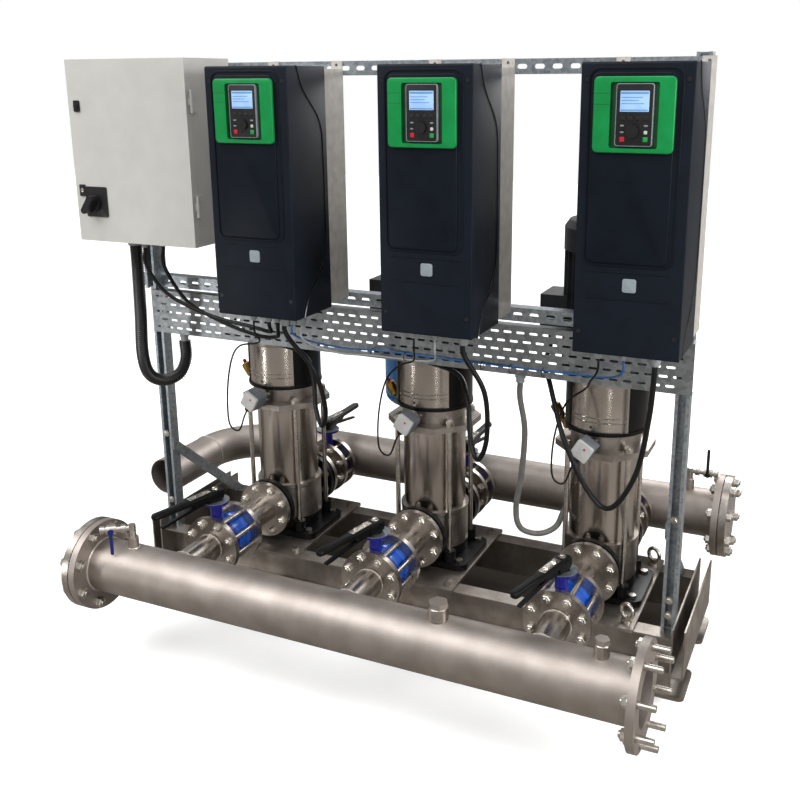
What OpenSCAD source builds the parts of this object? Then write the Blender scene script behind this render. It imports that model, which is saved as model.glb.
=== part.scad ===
// Booster pump set: three vertical multistage pumps between a suction and a
// discharge manifold on one skid, with a frame for the speed drives and the cabinet.
// Millimetres, +Z up, +X along the manifolds, -Y towards the suction manifold.
// The origin is on the floor, in the middle of the four anchor holes.

/* [Skid] */
// Length of each base beam
beam_len = 1874; // [1700:2:2300]
// Height of the base beams
beam_h = 120; // [90:1:160]
// Flange width of the base beams
beam_w = 58; // [45:1:75]
// Wall of the base beams and the end channels
beam_wall = 5; // [3:0.5:8]
// Depth of the base over both beams
base_depth = 460; // [420:2:560]
// Reach of the end channels past the base
end_over = 17; // [5:1:40]
// Rise of the end channels above the beams
end_rise = 41; // [30:1:60]
// Height of the feet under the beams
foot_h = 70; // [45:1:120]
// Length of a foot pad along the end channel
pad_l = 166; // [140:1:200]
// Width of a foot pad
pad_w = 100; // [80:1:130]
// Thickness of a foot pad
pad_t = 12; // [8:1:20]
// Anchor hole in a foot pad
anchor_d = 18; // [12:1:22]
// Anchor hole inside the beam's end
anchor_in = 3; // [0:1:10]
// Anchor hole inboard of the middle of its pad
anchor_off = 50; // [40:1:55]

/* [Pump plates] */
// Width of a pump plate
plate_w = 330; // [322:1:380]
// Reach of a pump plate past the beams
plate_over = 15; // [10:1:40]
// Thickness of a pump plate
plate_t = 10; // [6:1:16]
// Plate bolts from the plate's sides
plate_edge_x = 28; // [20:1:34]
// Plate bolts inside the outer edges of the beams
plate_bolt_in = 30; // [24:1:34]

/* [Pumps] */
// Distance from pump to pump
pump_pitch = 590; // [560:1:680]
// Middle pump from the middle of the skid
pump_shift = 66; // [0:1:80]
// Height of the ports above the pump plates
port_h = 120; // [116:1:150]
// Half of the pump's length over its port faces
pump_half = 160; // [156:1:200]
// Top of the casing above the port axis
casing_top = 72; // [66:1:90]
// Outer radius of the casing
casing_r = 117; // [110:0.5:119]
// Length of the outer sleeve
sleeve_l = 295; // [240:1:420]
// Outer radius of the outer sleeve
sleeve_r = 106; // [98:0.5:112]
// Wall of the outer sleeve
sleeve_wall = 3; // [2:0.5:5]
// Tie rods from the pump's axis, along X and along Y
rod_xy = 95; // [93:0.5:98]
// Radius of the tie rods
rod_r = 8; // [6:0.5:9]
// Height of the motor bracket's solid part
bracket_h = 78; // [70:1:100]
// Height of the lantern round the coupling
lantern_h = 155; // [130:1:200]
// Outer radius of the lantern
lantern_r = 128; // [122:1:134]
// Height of the motor's finned housing
motor_h = 390; // [340:1:480]
// Radius of the motor's housing under its fins
motor_r = 136; // [130:1:142]
// Height of the fan cover
fan_cover_h = 95; // [80:1:120]
// Radius of the pump shaft
shaft_r = 11; // [8:0.5:14]
// Radius of the motor shaft
motor_shaft_r = 19; // [16:0.5:24]
// Pump stages in each sleeve
stages = 4; // [2:1:6]

/* [Manifolds] */
// Suction manifold from the pumps' axes
suction_y = 725; // [690:1:800]
// Discharge manifold from the pumps' axes
discharge_y = 427; // [425:1:520]
// Outside diameter of the manifold pipe
main_od = 168.3; // [160:0.1:170]
// Wall of the manifold pipe
main_wall = 3; // [2:0.1:5]
// Diameter of the manifold flanges
main_flange_d = 285; // [280:1:300]
// Thickness of the manifold flanges
main_flange_t = 22; // [18:1:28]
// Bolt circle of the manifold flanges
main_pcd = 240; // [232:1:244]
// Bolt holes of the manifold flanges
main_hole_d = 22; // [21:0.5:24]
// Bolts of the manifold flanges
main_bolt_d = 20; // [16:0.5:20]
// Left face of the suction manifold
suction_left = 782; // [760:1:820]
// Open inlet face of the suction manifold
suction_right = 959; // [940:1:1000]
// Closed right face of the discharge manifold
discharge_right = 980; // [960:1:1020]
// Where the discharge manifold meets its elbow
discharge_left = 820; // [800:1:840]
// Length of the reducer before the elbow
reducer_l = 140; // [120:1:160]
// Outside diameter of the outlet pipe
outlet_od = 139.7; // [130:0.1:142]
// Bend radius of the discharge elbow
elbow_r = 225; // [200:1:240]
// Straight leg after the elbow
outlet_leg = 277; // [150:1:300]
// Flat weld face of the branch collars from the manifold's axis
collar_h = 92; // [90:0.5:96]

/* [Pump lines] */
// Outside diameter of the pump lines
line_od = 88.9; // [86:0.1:92]
// Wall of the pump lines
line_wall = 3; // [2:0.1:4]
// Diameter of the line flanges
line_flange_d = 200; // [194:1:206]
// Thickness of the line flanges
line_flange_t = 18; // [14:1:20]
// Bolt circle of the line flanges
line_pcd = 160; // [158:1:164]
// Bolt holes of the line flanges
line_hole_d = 18; // [17:0.5:19]
// Bolts of the line flanges
line_bolt_d = 16; // [12:0.5:16]
// Length of the suction spools
suction_spool = 200; // [160:1:230]
// Length of the discharge spools
discharge_spool = 102; // [90:1:104]
// Thickness of the gaskets
gasket_t = 2; // [1:0.5:3]
// Length of the butterfly valves
valve_t = 46; // [40:1:50]
// Length of the check valves
check_t = 64; // [56:1:70]
// Outer radius of the valve rings
valve_ring_r = 69; // [64:0.5:70]
// Top of a valve neck above the pipe's axis
neck_h = 150; // [140:1:170]

/* [Levers] */
// Reach of a valve lever from its stem
lever_l = 245; // [235:1:280]
// Width of a valve lever
lever_w = 26; // [20:1:30]
// Thickness of a valve lever
lever_t = 12; // [8:1:14]
// Radius of a valve stem
stem_r = 7; // [6:0.5:9]
// Trigger pivot from the stem
trigger_u = 62; // [56:1:75]
// Reach of a trigger from its pivot
trigger_l = 150; // [110:1:160]
// Radius of the trigger pins
trigger_pin_r = 3; // [2:0.5:3]
// Suction levers at rest, turned from fully open
lever_turn = 15; // [0:1:45]

/* [Frame] */
// Side of the strut profile
strut = 41; // [38:1:45]
// Wall of the strut profile
strut_wall = 2.5; // [2:0.5:3]
// Height of the posts above the base
post_h = 1680; // [1660:1:1800]
// Front face of the posts
post_front = 200; // [190:1:206]
// Underside of the upper rail
rail_top_z = 1817; // [1790:1:1822]
// Underside of the lower rail
rail_low_z = 1120; // [1112:1:1130]
// Underside of the cable tray
tray_z = 955; // [940:1:958]
// Height of the cable tray
tray_h = 150; // [120:1:152]
// Depth of the cable tray
tray_d = 37; // [30:1:41]
// Sheet of the cable tray
tray_t = 2; // [1:0.5:3]
// Left end of the cable tray inside the post's outer side
tray_in = 33; // [5:1:38]
// Right end of the cable tray past the post's outer side
tray_out = 11; // [0:1:20]

/* [Drives] */
// Distance from drive to drive
drive_pitch = 538; // [500:1:545]
// Middle drive from the middle of the skid
drive_shift = 289; // [270:1:292]
// Width of a drive
drive_w = 264; // [240:1:280]
// Height of a drive
drive_h = 704; // [690:1:712]
// Underside of the drives
drive_z = 1139; // [1136:1:1142]
// Depth of a drive's metal chassis
chassis_d = 104; // [90:1:120]
// Depth of a drive's cover at its foot
cover_d = 219; // [200:1:240]
// Depth of a drive's cover at its head
cover_top_d = 66; // [50:1:90]
// Rise of the raised front panel
panel_t = 4; // [2:0.5:6]
// Width of the keypad bezel
bezel_w = 194; // [180:1:200]
// Height of the keypad bezel
bezel_h = 176; // [165:1:186]
// Width of a keypad
keypad_w = 92; // [80:1:100]
// Height of a keypad
keypad_h = 146; // [130:1:150]
// Radius of a keypad wheel
wheel_r = 15; // [10:0.5:17]

/* [Cabinet] */
// Width of the cabinet
cabinet_w = 446; // [420:1:450]
// Height of the cabinet
cabinet_h = 553; // [520:1:560]
// Depth of the cabinet without its door
cabinet_d = 198; // [150:1:240]
// Left side of the cabinet past the post's outer side
cabinet_over = 7; // [0:1:20]
// Underside of the cabinet
cabinet_z = 1316; // [1280:1:1320]
// Sheet of the cabinet
cabinet_wall = 2; // [1.5:0.5:3]
// Thickness of the door
door_t = 22; // [18:1:26]
// Radius of the hinge pins
hinge_r = 3; // [2:0.5:4]

/* [Tank] */
// Radius of the pressure tank
tank_r = 100; // [90:1:108]
// Height of the pressure tank
tank_h = 310; // [280:1:340]
// Tank along the discharge manifold
tank_x = -223; // [-260:1:-200]
// Underside of the tank above the manifold's axis
tank_rise = 245; // [235:1:280]

/* [Hidden] */
$fn = 48;

// Finishes
STAINLESS = "#b9b4ac";
POLISHED = "#cfcac2";
ZINC = "#9aa0a3";
BLACK = "#17181a";
NAVY = "#1e2330";
BLUE = "#10208c";
BRIGHT_BLUE = "#0b5fd0";
BRASS = "#b08a45";
LIGHT_GREY = "#c9c8c2";
GREEN = "#0c9a48";

// Clearances
run_gap = 0.05;
free_gap = 0.3;
slip_gap = 0.2;

// Heights
base_top = foot_h + beam_h;
plate_top = base_top + plate_t;
port_z = plate_top + port_h;
foot_plate_t = 22;
foot_top = 52;
casing_z = plate_top + foot_top;
sleeve_z = port_z + casing_top;
bracket_z = sleeve_z + sleeve_l;
bracket_flange_t = 20;
lantern_z = bracket_z + bracket_h;
motor_z = lantern_z + lantern_h;
fan_z = motor_z + motor_h;
end_top = base_top + end_rise;
plate_d = base_depth + 2 * plate_over;

// Places of the pumps and drives along the skid
pump_xs = [for (i = [-1:1]) pump_shift + i * pump_pitch];
drive_xs = [for (i = [-1:1]) drive_shift + i * drive_pitch];

// Radii of pipes and bores
main_r = main_od / 2;
main_bore = main_r - main_wall;
outlet_r = outlet_od / 2;
outlet_bore = outlet_r - main_wall;
discharge_weld = discharge_left - reducer_l;
line_r = line_od / 2;
line_bore = line_r - line_wall;
bolts_n = 8;
main_nut_r = main_bolt_d * 0.87;
main_nut_t = main_bolt_d * 0.8;
line_nut_r = line_bolt_d * 0.87;
line_nut_t = line_bolt_d * 0.8;
bolt_end = 4;

// Stations along a suction line, as distances in front of the pump's axis
s_spool = pump_half + gasket_t;
s_check = s_spool + suction_spool + gasket_t;
s_valve = s_check + check_t + gasket_t;
s_stub = s_valve + valve_t;
s_collar = suction_y - collar_h;
s_stem = s_valve + valve_t / 2;

// Stations along a discharge line, as distances behind the pump's axis
d_spool = pump_half + gasket_t;
d_valve = d_spool + discharge_spool;
d_stub = d_valve + valve_t;
d_collar = discharge_y - collar_h;
d_stem = d_valve + valve_t / 2;

// Loose flange and collar on the pump ports
port_collar_t = 8;
port_collar_r = 66;
port_neck_r = 51;
loose_t = 20;

// Frame planes, as distances in front of the pumps' axes
rail_front = post_front + strut;
drive_front = rail_front + chassis_d + cover_d;
cabinet_back = rail_front + slip_gap + strut;
cabinet_front = cabinet_back + cabinet_d;
post_x = beam_len / 2;
cabinet_left = post_x + cabinet_over;
cabinet_right = cabinet_w - cabinet_left;
tray_left = post_x - tray_in;
tray_right = post_x + tray_out;

// Cords: diameters and routes
conduit_d = 42;
hose_d = 19;
motor_cable_d = 15;
cabinet_cable_d = 12;
switch_cable_d = 6;
tray_cable_d = 6;
conduit_route = [
    [-823, -390, 1290], [-823, -390, 1220], [-825, -392, 1060], [-834, -388, 920], [-836, -360, 840],
    [-822, -305, 805], [-800, -248, 815], [-790, -219, 865], [-790, -219, 929]
];
hose_route = [
    [443, -219, 929], [443, -219, 880], [462, -225, 780], [448, -205, 630], [424, -180, 500],
    [436, -168, 430], [490, -150, 412], [530, -100, 420], [532, -20, 440], [530, 100, 480],
    [540, 240, 560], [551, 340, 620], [556, 405, 625], [556, 427, 590], [556, 427, 518.15]
];
motor_routes = [
    [[-230, -440, 1113], [-230, -440, 1060], [-150, -420, 950], [-135, -385, 820], [-170, -350, 745],
     [-215, -310, 790], [-250, -262, 880], [-340, -182, 925], [-500, -180, 950], [-650, -160, 950],
     [-714, -60, 950], [-714, 0, 985], [-714, 0, 1032]],
    [[350, -440, 1113], [350, -440, 1060], [405, -420, 950], [400, -385, 800], [360, -350, 715],
     [320, -310, 760], [290, -262, 870], [220, -182, 920], [70, -180, 950], [-60, -160, 950],
     [-124, -60, 950], [-124, 0, 985], [-124, 0, 1032]],
    [[880, -440, 1113], [880, -440, 1060], [868, -420, 930], [835, -390, 760], [765, -365, 640],
     [690, -330, 665], [605, -290, 790], [548, -215, 880], [520, -182, 935], [495, -140, 950],
     [466, -60, 950], [466, 0, 985], [466, 0, 1032]]
];
cabinet_routes = [
    [[-760, -420, 1290], [-760, -420, 1230], [-690, -410, 1140], [-540, -395, 1080],
     [-380, -400, 1060], [-300, -422, 1058], [-290, -440, 1080], [-290, -440, 1113]],
    [[-720, -380, 1290], [-720, -380, 1220], [-650, -365, 1110], [-520, -355, 1050],
     [-380, -370, 1025], [-285, -410, 1040], [-260, -440, 1070], [-260, -440, 1113]]
];
tray_routes = [
    [[-200, -440, 1113], [-200, -440, 1060], [-110, -330, 1005], [20, -250, 985], [300, -242, 980],
     [600, -242, 980], [720, -320, 1005], [796, -440, 1060], [796, -440, 1113]],
    [[-170, -440, 1113], [-170, -440, 1050], [-110, -340, 990], [-20, -252, 967], [120, -246, 965],
     [210, -330, 1000], [261, -440, 1060], [261, -440, 1113]]
];

// Extrude a (y, z) outline along +X
module along_x(x, l) {
    translate([x, 0, 0]) rotate([90, 0, 90]) linear_extrude(l) children();
}

// Extrude an (x, z) outline along +Y
module along_y(y, l) {
    translate([0, y + l, 0]) rotate([90, 0, 0]) linear_extrude(l) children();
}

// Round bar along +X, +Y or +Z from a point
module bar_x(p, l, r) {
    translate(p) rotate([0, 90, 0]) cylinder(h = l, r = r);
}
module bar_y(p, l, r) {
    translate(p) rotate([-90, 0, 0]) cylinder(h = l, r = r);
}
module bar_z(p, l, r) {
    translate(p) cylinder(h = l, r = r);
}

// Hexagon along +Z, r across its corners
module hex(r, h) {
    cylinder(h = h, r = r, $fn = 6);
}

// Rectangle with round corners about its centre
module rounded(w, h, r) {
    square([w - 2 * r, h], center = true);
    square([w, h - 2 * r], center = true);
    for (x = [-1, 1], y = [-1, 1]) translate([x * (w / 2 - r), y * (h / 2 - r)]) circle(r);
}

// Slot along x with round ends, l from end to end
module slot_2d(l, w) {
    square([l - w, w], center = true);
    for (x = [-1, 1]) translate([x * (l - w) / 2, 0]) circle(w / 2, $fn = 24);
}

// Copies on a bolt circle about Z, straddling the axes
module bolt_circle(pcd) {
    for (i = [0:bolts_n - 1]) rotate([0, 0, (i + 0.5) * 360 / bolts_n])
        translate([pcd / 2, 0, 0]) children();
}

// Ring about Z
module ring(r_out, r_in, h) {
    difference() {
        cylinder(h = h, r = r_out);
        translate([0, 0, -1]) cylinder(h = h + 2, r = r_in);
    }
}

// Flanged pipe along +Z: a flange at its foot, and one at its head if both is true
module flanged_pipe(l, both) {
    r = line_flange_d / 2;
    head = both ? [[line_r, l - line_flange_t], [r, l - line_flange_t], [r, l]] : [[line_r, l]];
    foot = [[line_bore, 0], [r, 0], [r, line_flange_t], [line_r, line_flange_t]];
    difference() {
        rotate_extrude() polygon(concat(foot, head, [[line_bore, l]]));
        bolt_circle(line_pcd) translate([0, 0, -1]) cylinder(h = l + 2, d = line_hole_d);
    }
}

// Stud with a nut at each end of a clamped length, along +Z
module stud(d, grip, nut_r, nut_t) {
    translate([0, 0, -nut_t - bolt_end]) cylinder(h = grip + 2 * (nut_t + bolt_end), d = d);
    for (z = [-nut_t, grip]) translate([0, 0, z]) hex(nut_r, nut_t);
}

// Strut profile about its centre, with its slot towards -y
module strut_2d() {
    inner = strut - 2 * strut_wall;
    slot = 22;
    lip = 7;
    difference() {
        square(strut, center = true);
        square(inner, center = true);
        translate([0, -strut / 2]) square([slot, 2 * strut_wall + 1], center = true);
    }
    for (x = [-1, 1])
        translate([x * (slot + strut_wall) / 2, -strut / 2 + (lip + strut_wall) / 2])
            square([strut_wall, lip + strut_wall], center = true);
}

// Tube swept along a route
function unit(v) = v / norm(v);
function tangent(p, i) = unit(p[min(i + 1, len(p) - 1)] - p[max(i - 1, 0)]);
function across(p, i) =
    let (t = tangent(p, i), u = i == 0 ? [0.6, 0.8, 0.1] : across(p, i - 1))
    unit(u - t * (u * t));
module cord(p, d) {
    n = len(p);
    s = 8;
    points = [
        for (i = [0:n - 1])
        let (t = tangent(p, i), u = across(p, i), v = cross(t, u))
        for (k = [0:s - 1]) p[i] + d / 2 * (cos(k * 360 / s) * u + sin(k * 360 / s) * v)
    ];
    sides = [
        for (i = [0:n - 2], k = [0:s - 1])
        let (a = i * s + k, b = i * s + (k + 1) % s)
        each [[a, a + s, b], [b, a + s, b + s]]
    ];
    foot = [for (k = [0:s - 1]) k];
    head = [for (k = [s - 1:-1:0]) (n - 1) * s + k];
    polyhedron(points, concat(sides, [foot, head]));
}

// Base: two beams that open outwards, drilled for the plate bolts, and an end channel at each end
module beam_2d() {
    difference() {
        square([beam_w, beam_h]);
        translate([-1, beam_wall]) square([beam_w + 1 - beam_wall, beam_h - 2 * beam_wall]);
    }
}
module end_channel_2d() {
    difference() {
        square([strut, beam_h + end_rise]);
        translate([beam_wall, beam_wall]) square([strut - 2 * beam_wall, beam_h + end_rise]);
    }
}
module base_beams() {
    color(STAINLESS) {
        difference() {
            for (s = [0, 1]) mirror([0, s, 0])
                translate([0, -base_depth / 2, foot_h]) along_x(-beam_len / 2, beam_len) beam_2d();
            for (x = pump_xs) translate([x, 0, base_top - beam_wall - 1])
                plate_corners() cylinder(h = beam_wall + 2, d = plate_bolt_d + 1);
        }
        for (s = [0, 1]) mirror([s, 0, 0])
            translate([beam_len / 2 + slip_gap, 0, foot_h])
                along_y(-base_depth / 2 - end_over, base_depth + 2 * end_over) end_channel_2d();
    }
}

// Pump plates, drilled for the plate bolts and the foot bolts
foot_bolt_x = 128;
foot_bolt_y = 88;
foot_bolt_d = 14;
plate_bolt_d = 16;
module plate_corners() {
    for (x = [-1, 1], y = [-1, 1]) plate_corner(x, y) children();
}
module plate_corner(x, y) {
    translate([x * (plate_w / 2 - plate_edge_x), y * (base_depth / 2 - plate_bolt_in), 0]) children();
}
module foot_corners() {
    for (x = [-1, 1], y = [-1, 1]) translate([x * foot_bolt_x, y * foot_bolt_y, 0]) children();
}
module pump_plates() {
    color(STAINLESS)
        for (x = pump_xs) translate([x, 0, base_top])
            linear_extrude(plate_t) difference() {
                rounded(plate_w, plate_d, 6);
                plate_corners() circle(d = plate_bolt_d + 1);
                foot_corners() circle(d = foot_bolt_d + 1);
            }
}

// Feet: pad, stem under the beam and gusset, with the anchor hole inboard
stem_w = 60;
pad_out = 23;
module base_feet() {
    beam_y = base_depth / 2 - beam_w / 2;
    pad_y = base_depth / 2 + pad_out - pad_l / 2;
    pad_x = beam_len / 2 - anchor_in;
    color(STAINLESS)
        for (sx = [0, 1], sy = [0, 1]) mirror([sx, 0, 0]) mirror([0, sy, 0]) {
            difference() {
                translate([pad_x, -pad_y, 0]) linear_extrude(pad_t) rounded(pad_w, pad_l, 18);
                translate([pad_x, anchor_off - pad_y, -1]) cylinder(h = pad_t + 2, d = anchor_d);
            }
            translate([beam_len / 2 - stem_w - beam_wall, -beam_y - beam_w / 2, pad_t])
                cube([stem_w, beam_w, foot_h - pad_t]);
        }
}

// Bolts of the pump plates: lifting eyes at the outer corners and hexagon bolts elsewhere
eye_r = 27;
eye_wire = 6.5;
module under_nut(d, grip) {
    translate([0, 0, -grip - d]) cylinder(h = grip + d, d = d);
    translate([0, 0, -grip - d * 0.8]) hex(d * 0.9, d * 0.8);
}
module eye_bolt() {
    under_nut(plate_bolt_d, beam_wall + plate_t);
    cylinder(h = 8, r = 16);
    translate([0, 0, eye_r + 8]) rotate([0, 90, 60])
        rotate_extrude() translate([eye_r - 4, 0]) circle(eye_wire);
}
module hex_bolt(d, grip) {
    translate([0, 0, -grip]) cylinder(h = grip, d = d);
    hex(d * 0.9, d * 0.65);
}
module plate_bolts() {
    color(POLISHED)
        for (i = [0:2]) translate([pump_xs[i], 0, plate_top]) {
            for (x = [-1, 1], y = [-1, 1]) plate_corner(x, y)
                if (i - 1 == x) eye_bolt();
                else {
                    hex_bolt(plate_bolt_d, plate_t);
                    under_nut(plate_bolt_d, beam_wall + plate_t);
                }
            foot_corners() translate([0, 0, foot_plate_t]) hex_bolt(foot_bolt_d, foot_plate_t + plate_t);
        }
}

// Posts on the front beam
module frame_posts() {
    color(ZINC)
        for (s = [0, 1]) mirror([s, 0, 0])
            translate([post_x - strut / 2, -post_front + strut / 2, base_top])
                linear_extrude(post_h) strut_2d();
}

// The two drive rails and the cabinet's two uprights
module rail(z) {
    pitch = 50;
    difference() {
        translate([0, -rail_front + strut / 2, z + strut / 2])
            along_x(-post_x, 2 * post_x) rotate(90) strut_2d();
        along_y(-rail_front - 1, strut_wall + 2)
            for (x = [-post_x + pitch / 2:pitch:post_x - pitch / 2])
                translate([x, z + strut / 2]) slot_2d(28, 13);
    }
}
upright_in = [77, 374];
module cross_struts() {
    color(ZINC) {
        rail(rail_top_z);
        rail(rail_low_z);
        for (x = upright_in)
            translate([x - cabinet_left, -cabinet_back + strut / 2, rail_low_z])
                linear_extrude(cabinet_z + cabinet_h - rail_low_z) strut_2d();
    }
}

// Braces on the posts' inner sides, down to the rear beam
brace_rise = 310;
brace_head = 47;
brace_foot = 60;
brace_in = 8;
module post_braces() {
    front = -post_front + 2;
    back = base_depth / 2 - brace_in;
    top = base_top + brace_rise;
    color(ZINC)
        for (s = [0, 1]) mirror([s, 0, 0])
            along_x(post_x - strut - beam_wall, beam_wall) polygon([
                [back - brace_foot, base_top], [back, base_top], [front, top + brace_head], [front, top]
            ]);
}

// Cable tray: a channel open to the back with staggered slots
tray_slot_l = 25;
tray_slot_w = 7;
tray_pitch = 40;
tray_rows = 5;
module cable_tray() {
    l = tray_left + tray_right;
    row_pitch = tray_h / (tray_rows + 0.5);
    color(ZINC)
        difference() {
            translate([0, -post_front - tray_d, tray_z]) along_x(-tray_left, l) difference() {
                square([tray_d, tray_h]);
                translate([tray_t, tray_t]) square([tray_d, tray_h - 2 * tray_t]);
            }
            along_y(-post_front - tray_d - 1, tray_t + 2)
                for (row = [0:tray_rows - 1])
                    for (x = [-tray_left + tray_pitch:tray_pitch:tray_right - tray_pitch])
                        translate([x + (row % 2 - 0.5) * tray_pitch / 2, tray_z + (row + 0.75) * row_pitch])
                            slot_2d(tray_slot_l, tray_slot_w);
        }
}

// Manifold pipe along +X with pulled collars towards the pumps
module manifold_shell(x0, x1, dir) {
    difference() {
        union() {
            bar_x([x0, 0, 0], x1 - x0, main_r);
            for (x = pump_xs) bar_y([x, dir > 0 ? 0 : -collar_h, 0], collar_h, line_r + 2);
        }
        bar_x([x0 - 1, 0, 0], x1 - x0 + 2, main_bore);
        for (x = pump_xs) bar_y([x, dir > 0 ? 0 : -collar_h - 1, 0], collar_h + 1, line_bore);
    }
}
module main_holes() {
    rotate([0, 90, 0]) bolt_circle(main_pcd) cylinder(h = main_flange_t + 2, d = main_hole_d);
}

// Welded sockets on the manifolds: small ones carry the sample valves, two are capped
small_socket_r = 17;
big_socket_r = 24;
socket_h = 34;
drain_x = -640;
capped = [[395, big_socket_r], [843, small_socket_r]];
gauge_x = 860;
module socket(x, r) {
    bar_z([x, 0, main_r - 4], socket_h + 4, r);
}
module on_pipe() {
    difference() {
        children();
        bar_x([-suction_left, 0, 0], suction_left + suction_right, main_r + slip_gap);
    }
}
module slip_flange() {
    difference() {
        rotate([0, 90, 0]) ring(main_flange_d / 2, main_r + slip_gap, main_flange_t);
        translate([-1, 0, 0]) main_holes();
    }
}
module suction_manifold() {
    color(STAINLESS) translate([0, -suction_y, port_z]) {
        manifold_shell(-suction_left, suction_right, 1);
        for (x = [-suction_left, suction_right - main_flange_t]) translate([x, 0, 0]) slip_flange();
        on_pipe() socket(drain_x, small_socket_r);
        for (c = capped) {
            on_pipe() socket(c[0], c[1]);
            translate([c[0], 0, main_r + socket_h]) hex(c[1] * 1.15, 14);
        }
    }
}

// Discharge manifold: pipe with collars and sockets, then the reducer, elbow and plain outlet end
module discharge_manifold() {
    color(STAINLESS) translate([0, discharge_y, port_z]) {
        manifold_shell(-discharge_weld, discharge_right, -1);
        translate([discharge_right - main_flange_t, 0, 0]) slip_flange();
        on_pipe() socket(tank_x, big_socket_r);
        on_pipe() socket(gauge_x, small_socket_r);
        on_pipe() socket(sensor_x, small_socket_r);
        translate([-discharge_weld - slip_gap, 0, 0]) rotate([0, -90, 0]) rotate_extrude() polygon([
            [main_bore, 0], [main_r, 0], [main_r, 12], [outlet_r, reducer_l - 12], [outlet_r, reducer_l],
            [outlet_bore, reducer_l], [outlet_bore, reducer_l - 12], [main_bore, 12]
        ]);
        translate([-discharge_left - 2 * slip_gap, -elbow_r, 0]) {
            rotate([0, 0, 90]) rotate_extrude(angle = 90) translate([elbow_r, 0]) pipe_2d();
            translate([-elbow_r, -outlet_leg, 0]) rotate([-90, 0, 0]) linear_extrude(outlet_leg) pipe_2d();
        }
    }
}
module pipe_2d() {
    difference() {
        circle(outlet_r);
        circle(outlet_bore);
    }
}

// Blind flanges on the suction's left end and the discharge's right end
blind_t = 24;
main_gasket_t = 3;
module blind() {
    difference() {
        rotate([0, 90, 0]) cylinder(h = blind_t, d = main_flange_d);
        translate([-1, 0, 0]) rotate([0, 90, 0])
            bolt_circle(main_pcd) cylinder(h = blind_t + 2, d = main_hole_d);
    }
}
module blind_flanges() {
    color(STAINLESS) {
        translate([-suction_left - main_gasket_t - blind_t, -suction_y, port_z]) blind();
        translate([discharge_right + main_gasket_t, discharge_y, port_z]) blind();
    }
}

// Flat gaskets inside the bolt circles
main_gasket_r = main_pcd / 2 - main_hole_d / 2 - 1;
line_gasket_r = line_pcd / 2 - line_hole_d / 2 - 2;
module flange_gaskets() {
    color(BLACK) {
        translate([-suction_left - main_gasket_t, -suction_y, port_z])
            rotate([0, 90, 0]) ring(main_gasket_r, main_bore, main_gasket_t);
        translate([discharge_right, discharge_y, port_z])
            rotate([0, 90, 0]) ring(main_gasket_r, main_bore, main_gasket_t);
        for (x = pump_xs, y = [-s_spool, -s_check, -s_valve, pump_half])
            translate([x, y, port_z]) rotate([-90, 0, 0]) ring(line_gasket_r, line_bore, gasket_t);
    }
}

// Studs with nuts through all flanges, and the inlet's own bolts, threaded to their heads and so
// drawn at the middle of their thread
inlet_stud = 46;
inlet_thread_d = main_bolt_d * 0.92;
module flange_bolts() {
    main_grip = main_flange_t + main_gasket_t + blind_t;
    port_grip = loose_t + port_collar_t + gasket_t + line_flange_t;
    color(POLISHED) {
        translate([-suction_left - main_gasket_t - blind_t, -suction_y, port_z]) rotate([0, 90, 0])
            bolt_circle(main_pcd) stud(main_bolt_d, main_grip, main_nut_r, main_nut_t);
        translate([discharge_right - main_flange_t, discharge_y, port_z]) rotate([0, 90, 0])
            bolt_circle(main_pcd) stud(main_bolt_d, main_grip, main_nut_r, main_nut_t);
        translate([suction_right, -suction_y, port_z]) rotate([0, 90, 0]) bolt_circle(main_pcd) {
            translate([0, 0, -main_flange_t]) cylinder(h = main_flange_t + inlet_stud, d = inlet_thread_d);
            translate([0, 0, -main_flange_t - main_nut_t]) hex(main_nut_r, main_nut_t);
        }
        for (x = pump_xs) translate([x, 0, port_z]) {
            translate([0, -s_stub - line_flange_t, 0]) rotate([-90, 0, 0]) bolt_circle(line_pcd)
                stud(line_bolt_d, s_stub - s_check + gasket_t + 2 * line_flange_t, line_nut_r, line_nut_t);
            translate([0, -s_spool - line_flange_t, 0]) rotate([-90, 0, 0]) bolt_circle(line_pcd)
                stud(line_bolt_d, port_grip, line_nut_r, line_nut_t);
            translate([0, d_spool + line_flange_t - port_grip, 0]) rotate([-90, 0, 0]) bolt_circle(line_pcd)
                stud(line_bolt_d, port_grip, line_nut_r, line_nut_t);
            translate([0, d_valve - line_flange_t, 0]) rotate([-90, 0, 0]) bolt_circle(line_pcd)
                stud(line_bolt_d, valve_t + 2 * line_flange_t, line_nut_r, line_nut_t);
        }
    }
}

// Cast feet with the bosses that hold the tie rods
foot_edge = 30;
pedestal_r = 114;
boss_r = 20;
boss_top = 62;
rod_depth = 25;
module pump_feet() {
    color(BLACK)
        for (x = pump_xs) translate([x, 0, plate_top]) difference() {
            union() {
                linear_extrude(foot_plate_t)
                    rounded(2 * (foot_bolt_x + foot_edge), 2 * (foot_bolt_y + foot_edge), foot_edge);
                cylinder(h = foot_top, r = pedestal_r);
                rod_places() cylinder(h = boss_top, r = boss_r);
            }
            translate([0, 0, foot_top]) cylinder(h = boss_top, r = casing_r + free_gap);
            foot_corners() translate([0, 0, -1]) cylinder(h = foot_plate_t + 2, d = foot_bolt_d + 1);
            rod_places() translate([0, 0, boss_top - rod_depth])
                cylinder(h = rod_depth + 1, r = rod_r + slip_gap);
        }
}
module rod_places() {
    for (x = [-1, 1], y = [-1, 1]) translate([x * rod_xy, y * rod_xy, 0]) children();
}

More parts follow.
